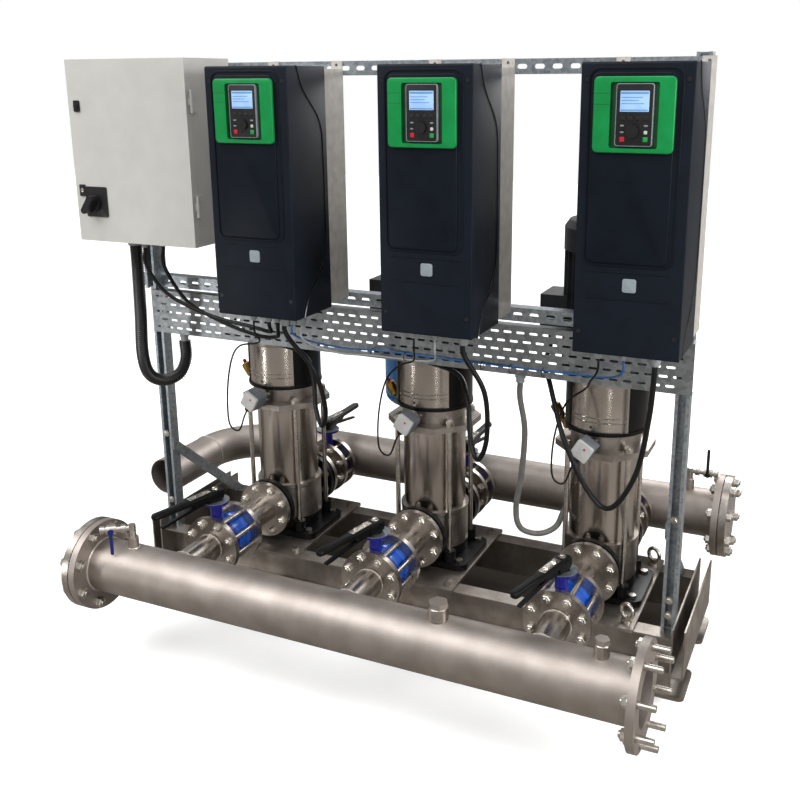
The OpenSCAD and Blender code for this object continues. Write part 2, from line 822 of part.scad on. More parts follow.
// Casings: bowl with two ports, open at the top to the sleeve
chamber_r = 64;
ring_t = 12;
module pump_casings() {
    floor_t = 24;
    h = sleeve_z - casing_z;
    color(STAINLESS)
        for (x = pump_xs) translate([x, 0, 0]) difference() {
            union() {
                translate([0, 0, casing_z]) rotate_extrude() polygon([
                    [0, 0], [casing_r - 7, 0], [casing_r - 2, 8], [casing_r - 2, h - ring_t - 4],
                    [casing_r, h - ring_t], [casing_r, h], [0, h]
                ]);
                bar_y([0, -pump_half, port_z], 2 * pump_half, port_neck_r);
                for (y = [-pump_half, pump_half - port_collar_t])
                    bar_y([0, y, port_z], port_collar_t, port_collar_r);
            }
            bar_y([0, -pump_half - 1, port_z], 2 * pump_half + 2, line_bore);
            bar_z([0, 0, casing_z + floor_t], h, chamber_r);
            bar_z([0, 0, casing_z + 6], h, shaft_r + run_gap);
        }
}

// Loose flanges behind the port collars
module pump_flanges() {
    color(BLACK)
        for (x = pump_xs, s = [0, 1]) translate([x, 0, port_z]) mirror([0, s, 0])
            translate([0, pump_half - port_collar_t - loose_t, 0]) rotate([-90, 0, 0]) difference() {
                ring(line_flange_d / 2, port_neck_r + free_gap, loose_t);
                bolt_circle(line_pcd) translate([0, 0, -1]) cylinder(h = loose_t + 2, d = line_hole_d);
            }
}

// Polished outer sleeves
module pump_sleeves() {
    color(POLISHED)
        for (x = pump_xs) translate([x, 0, sleeve_z]) ring(sleeve_r, sleeve_r - sleeve_wall, sleeve_l);
}

// Chambers of the stages, stacked inside the sleeves
stage_h = sleeve_l / stages;
eye_hole_r = 26;
module stage_chambers() {
    r = sleeve_r - sleeve_wall - free_gap;
    color(STAINLESS)
        for (x = pump_xs, i = [0:stages - 1]) translate([x, 0, sleeve_z + i * stage_h]) difference() {
            cylinder(h = stage_h - slip_gap, r = r);
            translate([0, 0, -1]) cylinder(h = stage_h - 3, r = r - 3);
            translate([0, 0, -1]) cylinder(h = stage_h + 2, r = eye_hole_r);
        }
}

// Tie rods from the feet to the motor brackets, with a nut on top
rod_nut_t = 13;
module tie_rods() {
    z0 = plate_top + boss_top - rod_depth;
    top = bracket_z + bracket_flange_t;
    color(POLISHED)
        for (x = pump_xs) translate([x, 0, 0]) rod_places() {
            bar_z([0, 0, z0], top + rod_nut_t + bolt_end - z0, rod_r);
            translate([0, 0, top]) hex(rod_r * 1.75, rod_nut_t);
        }
}

// Motor brackets: octagonal foot, seal housing and the lantern's two columns
bracket_r = 158;
housing_r = 110;
lantern_bore = 104;
window = 92;
tap_boss = 118;
tap_z = 44;
switch_turn = -6;
module motor_brackets() {
    color(STAINLESS)
        for (x = pump_xs) translate([x, 0, bracket_z]) difference() {
            union() {
                rotate([0, 0, 22.5]) cylinder(h = bracket_flange_t, r = bracket_r, $fn = 8);
                cylinder(h = bracket_h, r = housing_r);
                translate([0, 0, bracket_h - 12]) cylinder(h = 12, r = lantern_r);
                translate([0, 0, bracket_h]) lantern();
                translate([0, 0, tap_z]) {
                    rotate([0, -90, 0]) cylinder(h = tap_boss, r = 15);
                    rotate([90, 0, switch_turn]) cylinder(h = tap_boss, r = 15);
                }
            }
            translate([0, 0, -1]) cylinder(h = bracket_h + 2, r = shaft_r + run_gap);
            rod_places() translate([0, 0, -1]) cylinder(h = bracket_flange_t + 2, r = rod_r + slip_gap);
        }
}
module lantern() {
    difference() {
        ring(lantern_r, lantern_bore, lantern_h);
        translate([-window, -lantern_r - 1, -1]) cube([2 * window, 2 * lantern_r + 2, lantern_h - 11]);
    }
}

// Coupling guards in the lantern's front and back windows
guard_t = 3;
module coupling_guards() {
    r = lantern_r - 2;
    color(POLISHED)
        for (x = pump_xs) translate([x, 0, lantern_z]) intersection() {
            ring(r, r - guard_t, lantern_h - 12 - slip_gap);
            translate([slip_gap - window, -lantern_r, 0])
                cube([2 * (window - slip_gap), 2 * lantern_r, lantern_h]);
        }
}

// Motors: finned housing, fan cover and terminal box
fin_n = 28;
fin_h = 12;
shield_t = 18;
stator_r = 92;
box_w = 130;
box_h = 110;
box_d = 70;
box_z = 138;
module motors() {
    color(LIGHT_GREY)
        for (x = pump_xs) translate([x, 0, motor_z]) {
            difference() {
                union() {
                    cylinder(h = shield_t, r = lantern_r);
                    translate([0, 0, shield_t]) linear_extrude(motor_h - shield_t) {
                        circle(motor_r);
                        for (i = [0:fin_n - 1]) rotate([0, 0, i * 360 / fin_n])
                            translate([motor_r - 2, -1.5]) square([fin_h, 3]);
                    }
                    translate([-motor_r - box_d, -box_w / 2, box_z]) cube([box_d + 20, box_w, box_h]);
                }
                translate([0, 0, shield_t]) cylinder(h = motor_h - 2 * shield_t, r = stator_r);
                translate([0, 0, -1]) cylinder(h = motor_h + 2, r = motor_shaft_r + run_gap);
            }
            translate([0, 0, motor_h + slip_gap]) fan_cover();
        }
}
cover_t = 2;
module fan_cover() {
    r = motor_r + fin_h;
    h = fan_cover_h - slip_gap;
    rotate_extrude() polygon([
        [r - cover_t, 0], [r, 0], [r, h - 26], [r - 14, h - 5], [r - 32, h],
        [40, h], [40, h - cover_t], [r - 33, h - cover_t], [r - 15, h - 5 - cover_t], [r - cover_t, h - 27]
    ]);
}

// Shafts: impellers, coupling, rotor and fan on one axis
impeller_r = 86;
impeller_t = 18;
coupling_r = 40;
coupling_h = 100;
rotor_r = 74;
fan_r = 112;
module pump_shaft(i) {
    foot = casing_z + 7;
    coupling_z = lantern_z + 28;
    color(STAINLESS) translate([pump_xs[i - 1], 0, 0]) {
        bar_z([0, 0, foot], coupling_z - foot, shaft_r);
        for (k = [0:stages - 1]) bar_z([0, 0, sleeve_z + k * stage_h + 20], impeller_t, impeller_r);
        bar_z([0, 0, coupling_z], coupling_h, coupling_r);
        bar_z([0, 0, coupling_z + coupling_h], fan_z + 60 - coupling_z - coupling_h, motor_shaft_r);
        bar_z([0, 0, motor_z + shield_t + 30], motor_h - 2 * shield_t - 60, rotor_r);
        bar_z([0, 0, fan_z + 18], 36, fan_r);
    }
}

// Flanged spools at the pumps and flanged stubs at the manifolds
module pipe_spools() {
    color(STAINLESS)
        for (x = pump_xs) translate([x, 0, port_z]) {
            translate([0, -s_spool, 0]) rotate([90, 0, 0]) flanged_pipe(suction_spool, true);
            translate([0, -s_stub, 0]) rotate([90, 0, 0]) flanged_pipe(s_collar - s_stub, false);
            translate([0, d_spool, 0]) rotate([-90, 0, 0]) flanged_pipe(discharge_spool, true);
            translate([0, d_stub, 0]) rotate([-90, 0, 0]) flanged_pipe(d_collar - d_stub, false);
        }
}

// Wafer check valves
module check_valves() {
    color(BRIGHT_BLUE)
        for (x = pump_xs) translate([x, -s_check, port_z]) rotate([90, 0, 0]) {
            rotate_extrude() polygon([
                [line_bore, 0], [valve_ring_r, 0], [valve_ring_r, 12], [valve_ring_r - 5, 16],
                [valve_ring_r - 5, check_t - 16], [valve_ring_r, check_t - 12],
                [valve_ring_r, check_t], [line_bore, check_t]
            ]);
        }
}

// Butterfly valve bodies: ring, neck and notched top plate
valve_bore = 40;
neck_r = 19;
top_plate_r = 44;
top_plate_t = 8;
module valve_body(stem_y) {
    translate([0, stem_y, port_z]) difference() {
        union() {
            bar_y([0, -valve_t / 2, 0], valve_t, valve_ring_r);
            bar_z([0, 0, valve_ring_r - 8], neck_h - valve_ring_r, neck_r);
            bar_z([0, 0, neck_h - top_plate_t], top_plate_t, top_plate_r);
            bar_z([0, 0, -valve_ring_r - 10], 20, 14);
        }
        bar_y([0, -valve_t / 2 - 1, 0], valve_t + 2, valve_bore);
        bar_z([0, 0, 0], neck_h + 1, stem_r + run_gap);
    }
}
module valve_bodies() {
    color(BLUE)
        for (x = pump_xs) translate([x, 0, 0]) {
            valve_body(-s_stem);
            valve_body(d_stem);
        }
}

// Levers with stem and disc, drawn with the handle towards +Y from the stem
hub_r = 21;
hub_h = 38;
lever_rise = 20;
ear_t = 3;
ear_gap = 6;
ear_drop = 22;
disc_t = 7;
module lever_outline() {
    circle(hub_r);
    polygon([
        [-lever_w / 2 - 5, 0], [lever_w / 2 + 5, 0], [lever_w / 2, lever_l * 0.45],
        [lever_w / 2, lever_l - lever_w / 2], [-lever_w / 2, lever_l - lever_w / 2],
        [-lever_w / 2, lever_l * 0.45]
    ]);
    translate([0, lever_l - lever_w / 2]) circle(lever_w / 2);
}
module lever() {
    pin_z = lever_rise - ear_drop + 8;
    translate([0, 0, port_z]) {
        translate([0, 0, neck_h + free_gap]) {
            difference() {
                union() {
                    cylinder(h = hub_h, r = hub_r);
                    translate([0, 0, lever_rise]) linear_extrude(lever_t) lever_outline();
                    for (x = [-ear_gap - ear_t, ear_gap]) translate([x, trigger_u - 9, pin_z - 6])
                        cube([ear_t, 18, lever_rise - pin_z + 6]);
                    bar_x([-ear_gap - ear_t, trigger_u, pin_z], 2 * (ear_gap + ear_t), trigger_pin_r);
                }
                translate([0, 0, -1]) cylinder(h = hub_h + 2, r = stem_r + slip_gap);
            }
        }
        bar_z([0, 0, 0], neck_h + free_gap + hub_h, stem_r);
        bar_x([-disc_t / 2, 0, 0], disc_t, valve_bore - free_gap);
    }
}
module trigger() {
    pin_z = lever_rise - ear_drop + 8;
    w = 2 * (ear_gap - free_gap);
    translate([0, 0, port_z + neck_h + free_gap + pin_z]) difference() {
        translate([-w / 2, 0, 0]) along_x(0, w) difference() {
            union() {
                translate([trigger_u, 0]) circle(7);
                polygon([
                    [trigger_u, -7], [trigger_u + trigger_l, -30],
                    [trigger_u + trigger_l, -22], [trigger_u, 4]
                ]);
                translate([trigger_u + trigger_l, -26]) circle(4);
                polygon([[trigger_u, -5], [trigger_u, 4], [top_plate_r + 2, 3], [top_plate_r + 2, -4]]);
            }
            translate([trigger_u, 0]) circle(trigger_pin_r + run_gap);
        }
    }
}
module suction_lever(i) {
    color(BLACK) translate([pump_xs[i - 1], -s_stem, 0]) rotate([0, 0, 180 - lever_turn]) lever();
}
module discharge_lever(i) {
    color(BLACK) translate([pump_xs[i - 1], d_stem, 0]) lever();
}
module suction_trigger(i) {
    color(BLACK) translate([pump_xs[i - 1], -s_stem, 0]) rotate([0, 0, 180 - lever_turn]) trigger();
}
module discharge_trigger(i) {
    color(BLACK) translate([pump_xs[i - 1], d_stem, 0]) trigger();
}

// Air vents on the left taps of the brackets
vent_tilt = -30;
vent_nipple = 12;
vent_r = 17;
vent_h = 76;
module air_vents() {
    color(BRASS)
        for (x = pump_xs) translate([x - tap_boss, 0, bracket_z + tap_z]) {
            rotate([0, -90, 0]) cylinder(h = vent_nipple, r = 9);
            translate([-vent_nipple, 0, 0]) rotate([0, vent_tilt, 0]) {
                sphere(10);
                rotate_extrude() polygon([
                    [0, 0], [8, 0], [8, 26], [vent_r - 2, 34], [vent_r, vent_h - 16], [vent_r, vent_h],
                    [vent_r - 5, vent_h + 4], [5, vent_h + 6], [5, vent_h + 18], [0, vent_h + 18]
                ]);
            }
        }
}

// Pressure switches on the front taps of the brackets
switch_w = 56;
switch_d = 58;
switch_nipple = 34;
switch_roll = 30;
switch_gland = 20;
switch_gland_y = 18;
sensor_x = 556;
sensor_h = 80;
module at_switch() {
    rotate([0, 0, switch_turn]) translate([0, -tap_boss - switch_nipple, bracket_z + tap_z]) children();
}
module pressure_sensors() {
    color(LIGHT_GREY) {
        for (x = pump_xs) translate([x, 0, 0]) at_switch() {
            translate([0, -5, 0]) rotate([-90, 0, 0]) cylinder(h = switch_nipple + 5, r = 8);
            translate([0, -switch_d, 0]) rotate([0, switch_roll, 0]) {
                along_y(0, switch_d) rounded(switch_w, switch_w, 5);
                bar_z([0, switch_gland_y, -switch_w / 2 - switch_gland], switch_gland + 5, 9);
            }
        }
        translate([sensor_x, discharge_y, port_z + main_r + socket_h]) {
            hex(14, 12);
            cylinder(h = sensor_h, r = 11);
        }
    }
}

// A switch cable: out of the gland, round a loop beside the pump, then over the tray to its drive
switch_gland_xs = [-345, 196, 731];
switch_reach = switch_w / 2 + switch_gland;
switch_local = [
    -switch_reach * sin(switch_roll), switch_gland_y - switch_d - tap_boss - switch_nipple,
    bracket_z + tap_z - switch_reach * cos(switch_roll)
];
function turned(p, a) = [p[0] * cos(a) - p[1] * sin(a), p[0] * sin(a) + p[1] * cos(a), p[2]];
switch_tip = turned(switch_local, switch_turn);
switch_aim = turned([-sin(switch_roll), 0, -cos(switch_roll)], switch_turn);
function switch_route(x, to) = [
    [x, 0, 0] + switch_tip, [x, 0, 0] + switch_tip + 25 * switch_aim,
    [x - 78, -194, 615], [x - 112, -200, 640], [x - 108, -205, 760], [x - 70, -225, 880],
    [x, -270, 950], [to - 40, -360, 1000], [to, -440, 1060], [to, -440, 1113]
];

// Diaphragm tank on the discharge manifold
module pressure_tank() {
    neck_z = main_r + socket_h;
    color(BLUE) translate([tank_x, discharge_y, port_z]) rotate_extrude() polygon(concat(
        [[0, neck_z], [15, neck_z], [15, tank_rise]],
        [for (a = [20:14:90]) [tank_r * sin(a), tank_rise + 60 - 60 * cos(a)]],
        [for (a = [90:14:160]) [tank_r * sin(a), tank_rise + tank_h - 60 - 60 * cos(a)]],
        [[0, tank_rise + tank_h]]
    ));
}

// Sample valves: nipple on the socket, elbow, ball body and spout, drawn towards +X
sample_rise = 30;
ball_x = 62;
ball_r = 15;
spindle_r = 4;
module sample_handle(reach) {
    translate([ball_x, 0, sample_rise]) {
        bar_z([0, 0, 1], ball_r + 12, spindle_r);
        translate([0, 0, ball_r + 5 + free_gap]) linear_extrude(4) {
            circle(9);
            translate([-5, 0]) square([10, reach - 5]);
            translate([0, reach - 5]) circle(5);
        }
    }
}

// The drain valve lies towards the left front with its handle down, the gauge valve has its handle up
drain_turn = 215;
module at_drain() {
    translate([drain_x, -suction_y, port_z + main_r + socket_h]) rotate([0, 0, drain_turn]) children();
}
module at_gauge() {
    translate([gauge_x, discharge_y, port_z + main_r + socket_h]) children();
}
module rolled(a) {
    translate([0, 0, sample_rise]) rotate([a, 0, 0]) translate([0, 0, -sample_rise]) children();
}
module sample_body(a) {
    cylinder(h = sample_rise + 12, r = 11);
    rolled(a) difference() {
        union() {
            bar_x([0, 0, sample_rise], ball_x + 34, 9);
            bar_x([18, 0, sample_rise], 14, 14);
            bar_x([ball_x - ball_r, 0, sample_rise], 2 * ball_r, ball_r);
            bar_x([ball_x + 20, 0, sample_rise], 14, 13);
            bar_z([ball_x, 0, sample_rise], ball_r + 5, 7);
        }
        bar_z([ball_x, 0, sample_rise], ball_r + 6, spindle_r + run_gap);
    }
}
module ball_valves() {
    color(STAINLESS) {
        at_drain() sample_body(-90);
        at_gauge() sample_body(90);
    }
}
drain_reach = 75;
gauge_reach = 95;
module drain_handle() {
    color(BLUE) at_drain() rolled(-90) sample_handle(drain_reach);
}
module gauge_handle() {
    color(BLACK) at_gauge() rolled(90) sample_handle(gauge_reach);
}

// Drive chassis: metal back with lugs, and the grey housing behind the cover's curved edge
lug_h = 24;
function edge_depth(h) =
    let (s = min(1, h / 230))
    cover_top_d + (cover_d - 12 - cover_top_d) * s * s * (3 - 2 * s);
function cover_outline(grow) = concat(
    [[0, 0], [0, drive_h]],
    [for (h = [0:23:230]) [edge_depth(h) + grow, drive_h - h]],
    [[edge_depth(drive_h) + grow, 0]]
);
module drive_chassis() {
    color(ZINC)
        for (x = drive_xs) translate([x, -rail_front, drive_z]) {
            difference() {
                union() {
                    translate([-drive_w / 2 + 4, -chassis_d, 8]) cube([drive_w - 8, chassis_d, drive_h - 16]);
                    for (s = [-1, 1]) translate([s * (drive_w / 2 - 22) - 18, -6, 8])
                        cube([36, 6, drive_h + lug_h - 16]);
                    translate([0, -chassis_d - cover_d, 0])
                        along_x(4 - drive_w / 2, drive_w - 8) difference() {
                            translate([0, 10]) square([cover_d, drive_h - 20]);
                            polygon(cover_outline(slip_gap));
                        }
                }
                for (s = [-1, 1]) translate([s * (drive_w / 2 - 22), 0, drive_h + 4])
                    rotate([90, 0, 0]) cylinder(h = 30, d = 9, center = true);
            }
        }
}

// Drive covers: side outline with the curved edge, narrowed to a rounded front
panel_w = 206;
panel_h = 470;
module drive_covers() {
    color(NAVY)
        for (x = drive_xs) translate([x, -drive_front, drive_z]) {
            intersection() {
                along_x(-drive_w / 2, drive_w) polygon(cover_outline(0));
                along_y(-1, cover_d + 2) translate([0, drive_h / 2]) rounded(drive_w, drive_h, 14);
            }
            along_y(-panel_t, panel_t)
                translate([0, drive_h - 24 - panel_h / 2]) rounded(panel_w, panel_h, 16);
        }
}

// Keypads: green bezel, black keypad and its keys
bezel_t = 7;
keypad_t = 13;
bezel_gap = 12;
bezel_drop = 32;
bezel_x = -3;
key_t = 2;
wheel_drop = 36;
keypad_front = drive_front + panel_t + keypad_t;
bezel_mid = drive_z + drive_h - bezel_drop - bezel_h / 2;
wheel_pin_r = 3;
module keypads() {
    for (x = drive_xs) translate([x + bezel_x, -drive_front - panel_t, bezel_mid]) {
        color(GREEN) along_y(-bezel_t, bezel_t) difference() {
            rounded(bezel_w, bezel_h, 12);
            square([keypad_w + 2 * bezel_gap, keypad_h + 6], center = true);
        }
        color(BLACK) difference() {
            union() {
                along_y(-keypad_t, keypad_t) rounded(keypad_w, keypad_h, 5);
                along_y(-keypad_t - key_t, key_t + 1) for (k = [-1.5:1.5])
                    translate([k * 20, -10]) rounded(13, 9, 2);
                along_y(-keypad_t - key_t, key_t + 1) for (k = [-1, 1], j = [-14, -34, -56])
                    translate([k * 31, j]) rounded(14, 12, 2);
            }
            bar_y([0, -keypad_t - 1, -wheel_drop], 9, wheel_pin_r + run_gap);
        }
    }
}
module keypad_wheel(i) {
    color(BLACK) translate([drive_xs[i - 1] + bezel_x, -keypad_front, bezel_mid - wheel_drop]) {
        bar_y([0, -5 - free_gap, 0], 5, wheel_r);
        bar_y([0, -1, 0], 8, wheel_pin_r);
    }
}

// Cabinet: open-fronted box with hinge knuckles on its right side
knuckle_r = 6;
knuckle_l = 22;
hinge_x = cabinet_right + knuckle_r + 1;
hinge_y = cabinet_front + 5;
hinge_zs = [cabinet_z + 90, cabinet_z + cabinet_h - 90 - 3 * knuckle_l];
module cabinet_body() {
    inner_w = cabinet_w - 2 * cabinet_wall;
    color(LIGHT_GREY) {
        difference() {
            translate([-cabinet_left, -cabinet_front, cabinet_z]) cube([cabinet_w, cabinet_d, cabinet_h]);
            translate([cabinet_wall - cabinet_left, -cabinet_front - 1, cabinet_z + cabinet_wall])
                cube([inner_w, cabinet_d + 1 - cabinet_wall, cabinet_h - 2 * cabinet_wall]);
        }
        for (z = hinge_zs) {
            for (k = [0, 2]) {
                bar_z([hinge_x, -hinge_y, z + k * knuckle_l], knuckle_l, knuckle_r);
                translate([cabinet_right, -hinge_y, z + k * knuckle_l]) cube([3, 32, knuckle_l]);
                translate([cabinet_right, -hinge_y, z + k * knuckle_l])
                    cube([hinge_x - cabinet_right, 6, knuckle_l]);
            }
            bar_z([hinge_x, -hinge_y, z + knuckle_l / 2], 2 * knuckle_l, hinge_r);
        }
    }
}

// Door: folded panel with the middle knuckles
door_fold = 18;
module cabinet_door() {
    y0 = -cabinet_front - free_gap;
    mid_l = knuckle_l - 2 * free_gap;
    color(LIGHT_GREY) difference() {
        union() {
            translate([-cabinet_left, y0 - door_t, cabinet_z]) cube([cabinet_w, door_t, cabinet_h]);
            for (z = hinge_zs) {
                bar_z([hinge_x, -hinge_y, z + knuckle_l + free_gap], mid_l, knuckle_r);
                translate([cabinet_right - 1, -hinge_y - knuckle_r, z + knuckle_l + free_gap])
                    cube([hinge_x - cabinet_right + 1, 5, mid_l]);
            }
        }
        translate([cabinet_wall - cabinet_left, y0 - door_fold, cabinet_z + cabinet_wall])
            cube([cabinet_w - 2 * cabinet_wall - 12, door_fold + 1, cabinet_h - 2 * cabinet_wall]);
        for (z = hinge_zs) bar_z([hinge_x, -hinge_y, z - 1], 3 * knuckle_l + 2, hinge_r + run_gap);
        for (c = [[disconnect_x, disconnect_z], [lock_x, lock_z]])
            bar_y([c[0], y0 - door_t - 1, c[1]], door_t + 2, door_pin_r + run_gap);
    }
}

// Main switch handle and quarter-turn lock in the door
door_pin_r = 6;
disconnect_in = 70;
disconnect_up = 118;
lock_in = 34;
lock_up = 415;
disconnect_x = disconnect_in - cabinet_left;
disconnect_z = cabinet_z + disconnect_up;
lock_x = lock_in - cabinet_left;
lock_z = cabinet_z + lock_up;
door_face = cabinet_front + free_gap + door_t;
module disconnect_handle() {
    color(BLACK) translate([disconnect_x, -door_face - free_gap, disconnect_z]) {
        bar_y([0, 0, 0], door_t - 2, door_pin_r);
        bar_y([0, -12, 0], 12, 26);
        rotate([0, 35, 0]) along_y(-40, 29) rounded(20, 64, 9);
    }
}
module door_lock() {
    color(BLACK) translate([lock_x, -door_face - free_gap, lock_z]) {
        bar_y([0, 0, 0], door_t - 2, door_pin_r);
        along_y(-4, 4) rounded(22, 34, 4);
        bar_y([0, -8, 0], 5, 8);
    }
}

// Cable glands under the cabinet, the drives, the terminal boxes and the tray
gland_h = 26;
box_gland_x = -190;
module gland(p, r) {
    translate([p[0], p[1], p[2]]) {
        cylinder(h = gland_h - 10, r = r);
        translate([0, 0, gland_h - 12]) hex(r * 1.3, 12);
    }
}
drive_gland_xs = [-290, -260, -230, -200, -170, 261, 350, 796, 880];
drive_gland_y = 440;
module cable_glands() {
    color(LIGHT_GREY) {
        for (x = concat(drive_gland_xs, switch_gland_xs)) gland([x, -drive_gland_y, drive_z - gland_h], 9);
        gland([conduit_route[0][0], conduit_route[0][1], cabinet_z - gland_h], 24);
        for (r = cabinet_routes) gland([r[0][0], r[0][1], cabinet_z - gland_h], 10);
        for (x = pump_xs) gland([x + box_gland_x, 0, motor_z + box_z - gland_h], 11);
        for (p = [conduit_route[len(conduit_route) - 1], hose_route[0]])
            gland([p[0], p[1], tray_z - gland_h], 13);
    }
}

// Conduits: the corrugated one to the tray and the grey one to the last pump
module conduits() {
    color(BLACK) cord(conduit_route, conduit_d);
    color(LIGHT_GREY) cord(hose_route, hose_d);
}

// Motor cables and the cabinet's supply cables
module power_cables() {
    color(BLACK) {
        for (r = motor_routes) cord(r, motor_cable_d);
        for (r = cabinet_routes) cord(r, cabinet_cable_d);
    }
}

// Signal cables: two along the tray and one from each pressure switch
module signal_cables() {
    color(BLUE) for (r = tray_routes) cord(r, tray_cable_d);
    color(BLACK) for (i = [0:2]) cord(switch_route(pump_xs[i], switch_gland_xs[i]), switch_cable_d);
}

base_beams();
pump_plates();
base_feet();
plate_bolts();
frame_posts();
cross_struts();
post_braces();
cable_tray();
suction_manifold();
discharge_manifold();
blind_flanges();
flange_gaskets();
flange_bolts();
pump_feet();
pump_casings();
pump_flanges();
pump_sleeves();
stage_chambers();
tie_rods();
motor_brackets();
coupling_guards();
motors();
pipe_spools();
check_valves();
valve_bodies();
air_vents();
pressure_sensors();
pressure_tank();
ball_valves();
drive_chassis();
drive_covers();
keypads();
cabinet_body();
cable_glands();
conduits();
power_cables();
signal_cables();
suction_lever(1);  // suction_lever_1
suction_lever(2);  // suction_lever_2
suction_lever(3);  // suction_lever_3
discharge_lever(1);  // discharge_lever_1
discharge_lever(2);  // discharge_lever_2
discharge_lever(3);  // discharge_lever_3
suction_trigger(1);  // suction_trigger_1
suction_trigger(2);  // suction_trigger_2
suction_trigger(3);  // suction_trigger_3
discharge_trigger(1);  // discharge_trigger_1
discharge_trigger(2);  // discharge_trigger_2
discharge_trigger(3);  // discharge_trigger_3
pump_shaft(1);  // pump_shaft_1
pump_shaft(2);  // pump_shaft_2
pump_shaft(3);  // pump_shaft_3
drain_handle();
gauge_handle();
cabinet_door();
disconnect_handle();
door_lock();
keypad_wheel(1);  // keypad_wheel_1
keypad_wheel(2);  // keypad_wheel_2
keypad_wheel(3);  // keypad_wheel_3
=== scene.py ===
"""Looks of the booster pump set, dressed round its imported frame.

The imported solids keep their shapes. This script gives them their finishes, lays the cords, adds the
detail that shows close up, and sets a plain studio with the photograph's view. Places and profiles
are given in millimetres, and grids of points are metres.
"""

from __future__ import annotations

import logging
import math
from dataclasses import dataclass
from enum import Enum
from typing import Optional, Sequence

import bmesh
import bpy
import numpy as np
from mathutils import Matrix

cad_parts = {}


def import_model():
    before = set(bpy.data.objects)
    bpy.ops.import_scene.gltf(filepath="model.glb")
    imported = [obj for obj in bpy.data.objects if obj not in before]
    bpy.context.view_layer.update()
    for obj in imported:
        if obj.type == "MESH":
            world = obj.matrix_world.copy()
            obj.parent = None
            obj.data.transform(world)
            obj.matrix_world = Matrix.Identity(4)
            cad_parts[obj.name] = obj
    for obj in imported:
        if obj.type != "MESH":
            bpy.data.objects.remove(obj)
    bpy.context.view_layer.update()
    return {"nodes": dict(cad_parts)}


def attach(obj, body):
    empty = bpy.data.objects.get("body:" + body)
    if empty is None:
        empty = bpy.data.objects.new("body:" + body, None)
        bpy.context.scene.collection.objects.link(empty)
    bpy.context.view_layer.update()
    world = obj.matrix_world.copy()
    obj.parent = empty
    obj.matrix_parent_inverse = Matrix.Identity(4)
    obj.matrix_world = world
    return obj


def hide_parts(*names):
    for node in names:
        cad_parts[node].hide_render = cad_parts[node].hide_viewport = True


LOG = logging.getLogger("booster_set")
MM = 0.001
SKID = "skid"
Array = np.ndarray
Grids = Sequence[np.ndarray]
Point = tuple[float, float, float]
Socket = bpy.types.NodeSocket
Tree = bpy.types.NodeTree


def linear(hex_colour: str) -> tuple[float, float, float, float]:
    """Turn an sRGB hex colour into linear RGBA.

    Args:
        hex_colour: colour such as "#b8b0a4".

    Returns:
        Linear red, green, blue and an alpha of one.
    """
    raw = np.array([int(hex_colour[i : i + 2], 16) for i in (1, 3, 5)]) / 255.0
    lin = np.where(raw <= 0.04045, raw / 12.92, ((raw + 0.055) / 1.055) ** 2.4)
    return (float(lin[0]), float(lin[1]), float(lin[2]), 1.0)


def empty_tree(owner: bpy.types.ID) -> Tree:
    """Turn on the nodes of a material or a world and clear them."""
    owner.use_nodes = True
    owner.node_tree.nodes.clear()
    return owner.node_tree


def add_node(tree: Tree, kind: str, inputs: Optional[dict] = None, **settings: object) -> bpy.types.Node:
    """Add one shader node.

    Args:
        tree: node tree that gets the node.
        kind: Blender's type name of the node.
        inputs: plain values, or output sockets to join, by input name or number.
        settings: the node's own properties.

    Returns:
        The new node.
    """
    node = tree.nodes.new(kind)
    for key, value in settings.items():
        setattr(node, key, value)
    for key, value in (inputs or {}).items():
        if isinstance(value, Socket):
            tree.links.new(value, node.inputs[key])
        else:
            node.inputs[key].default_value = value
    return node


def remap(
    tree: Tree,
    value: Socket,
    given: Sequence[float],
    wanted: Sequence[float] = (0.0, 1.0),
    **settings: object,
) -> Socket:
    """Map the given range of a value onto the wanted one."""
    limits = {"From Min": given[0], "From Max": given[1], "To Min": wanted[0], "To Max": wanted[1]}
    return add_node(tree, "ShaderNodeMapRange", {"Value": value, **limits}, **settings).outputs[0]


def combine(tree: Tree, operation: str, *terms: object) -> Socket:
    """Join numbers or sockets by one operation."""
    return add_node(tree, "ShaderNodeMath", dict(enumerate(terms)), operation=operation).outputs[0]


def blend(tree: Tree, share: Socket, first: object, second: object) -> Socket:
    """Mix two colours by a share of the second one."""
    return add_node(tree, "ShaderNodeMix", {0: share, 6: first, 7: second}, data_type="RGBA").outputs[2]


class Grain(Enum):
    """Which way a fine surface grain runs: its stretch along X, Y and Z."""

    EVEN = (1.0, 1.0, 1.0)
    ALONG_X = (0.03, 1.0, 1.0)
    ROUND_Z = (0.03, 0.03, 1.0)


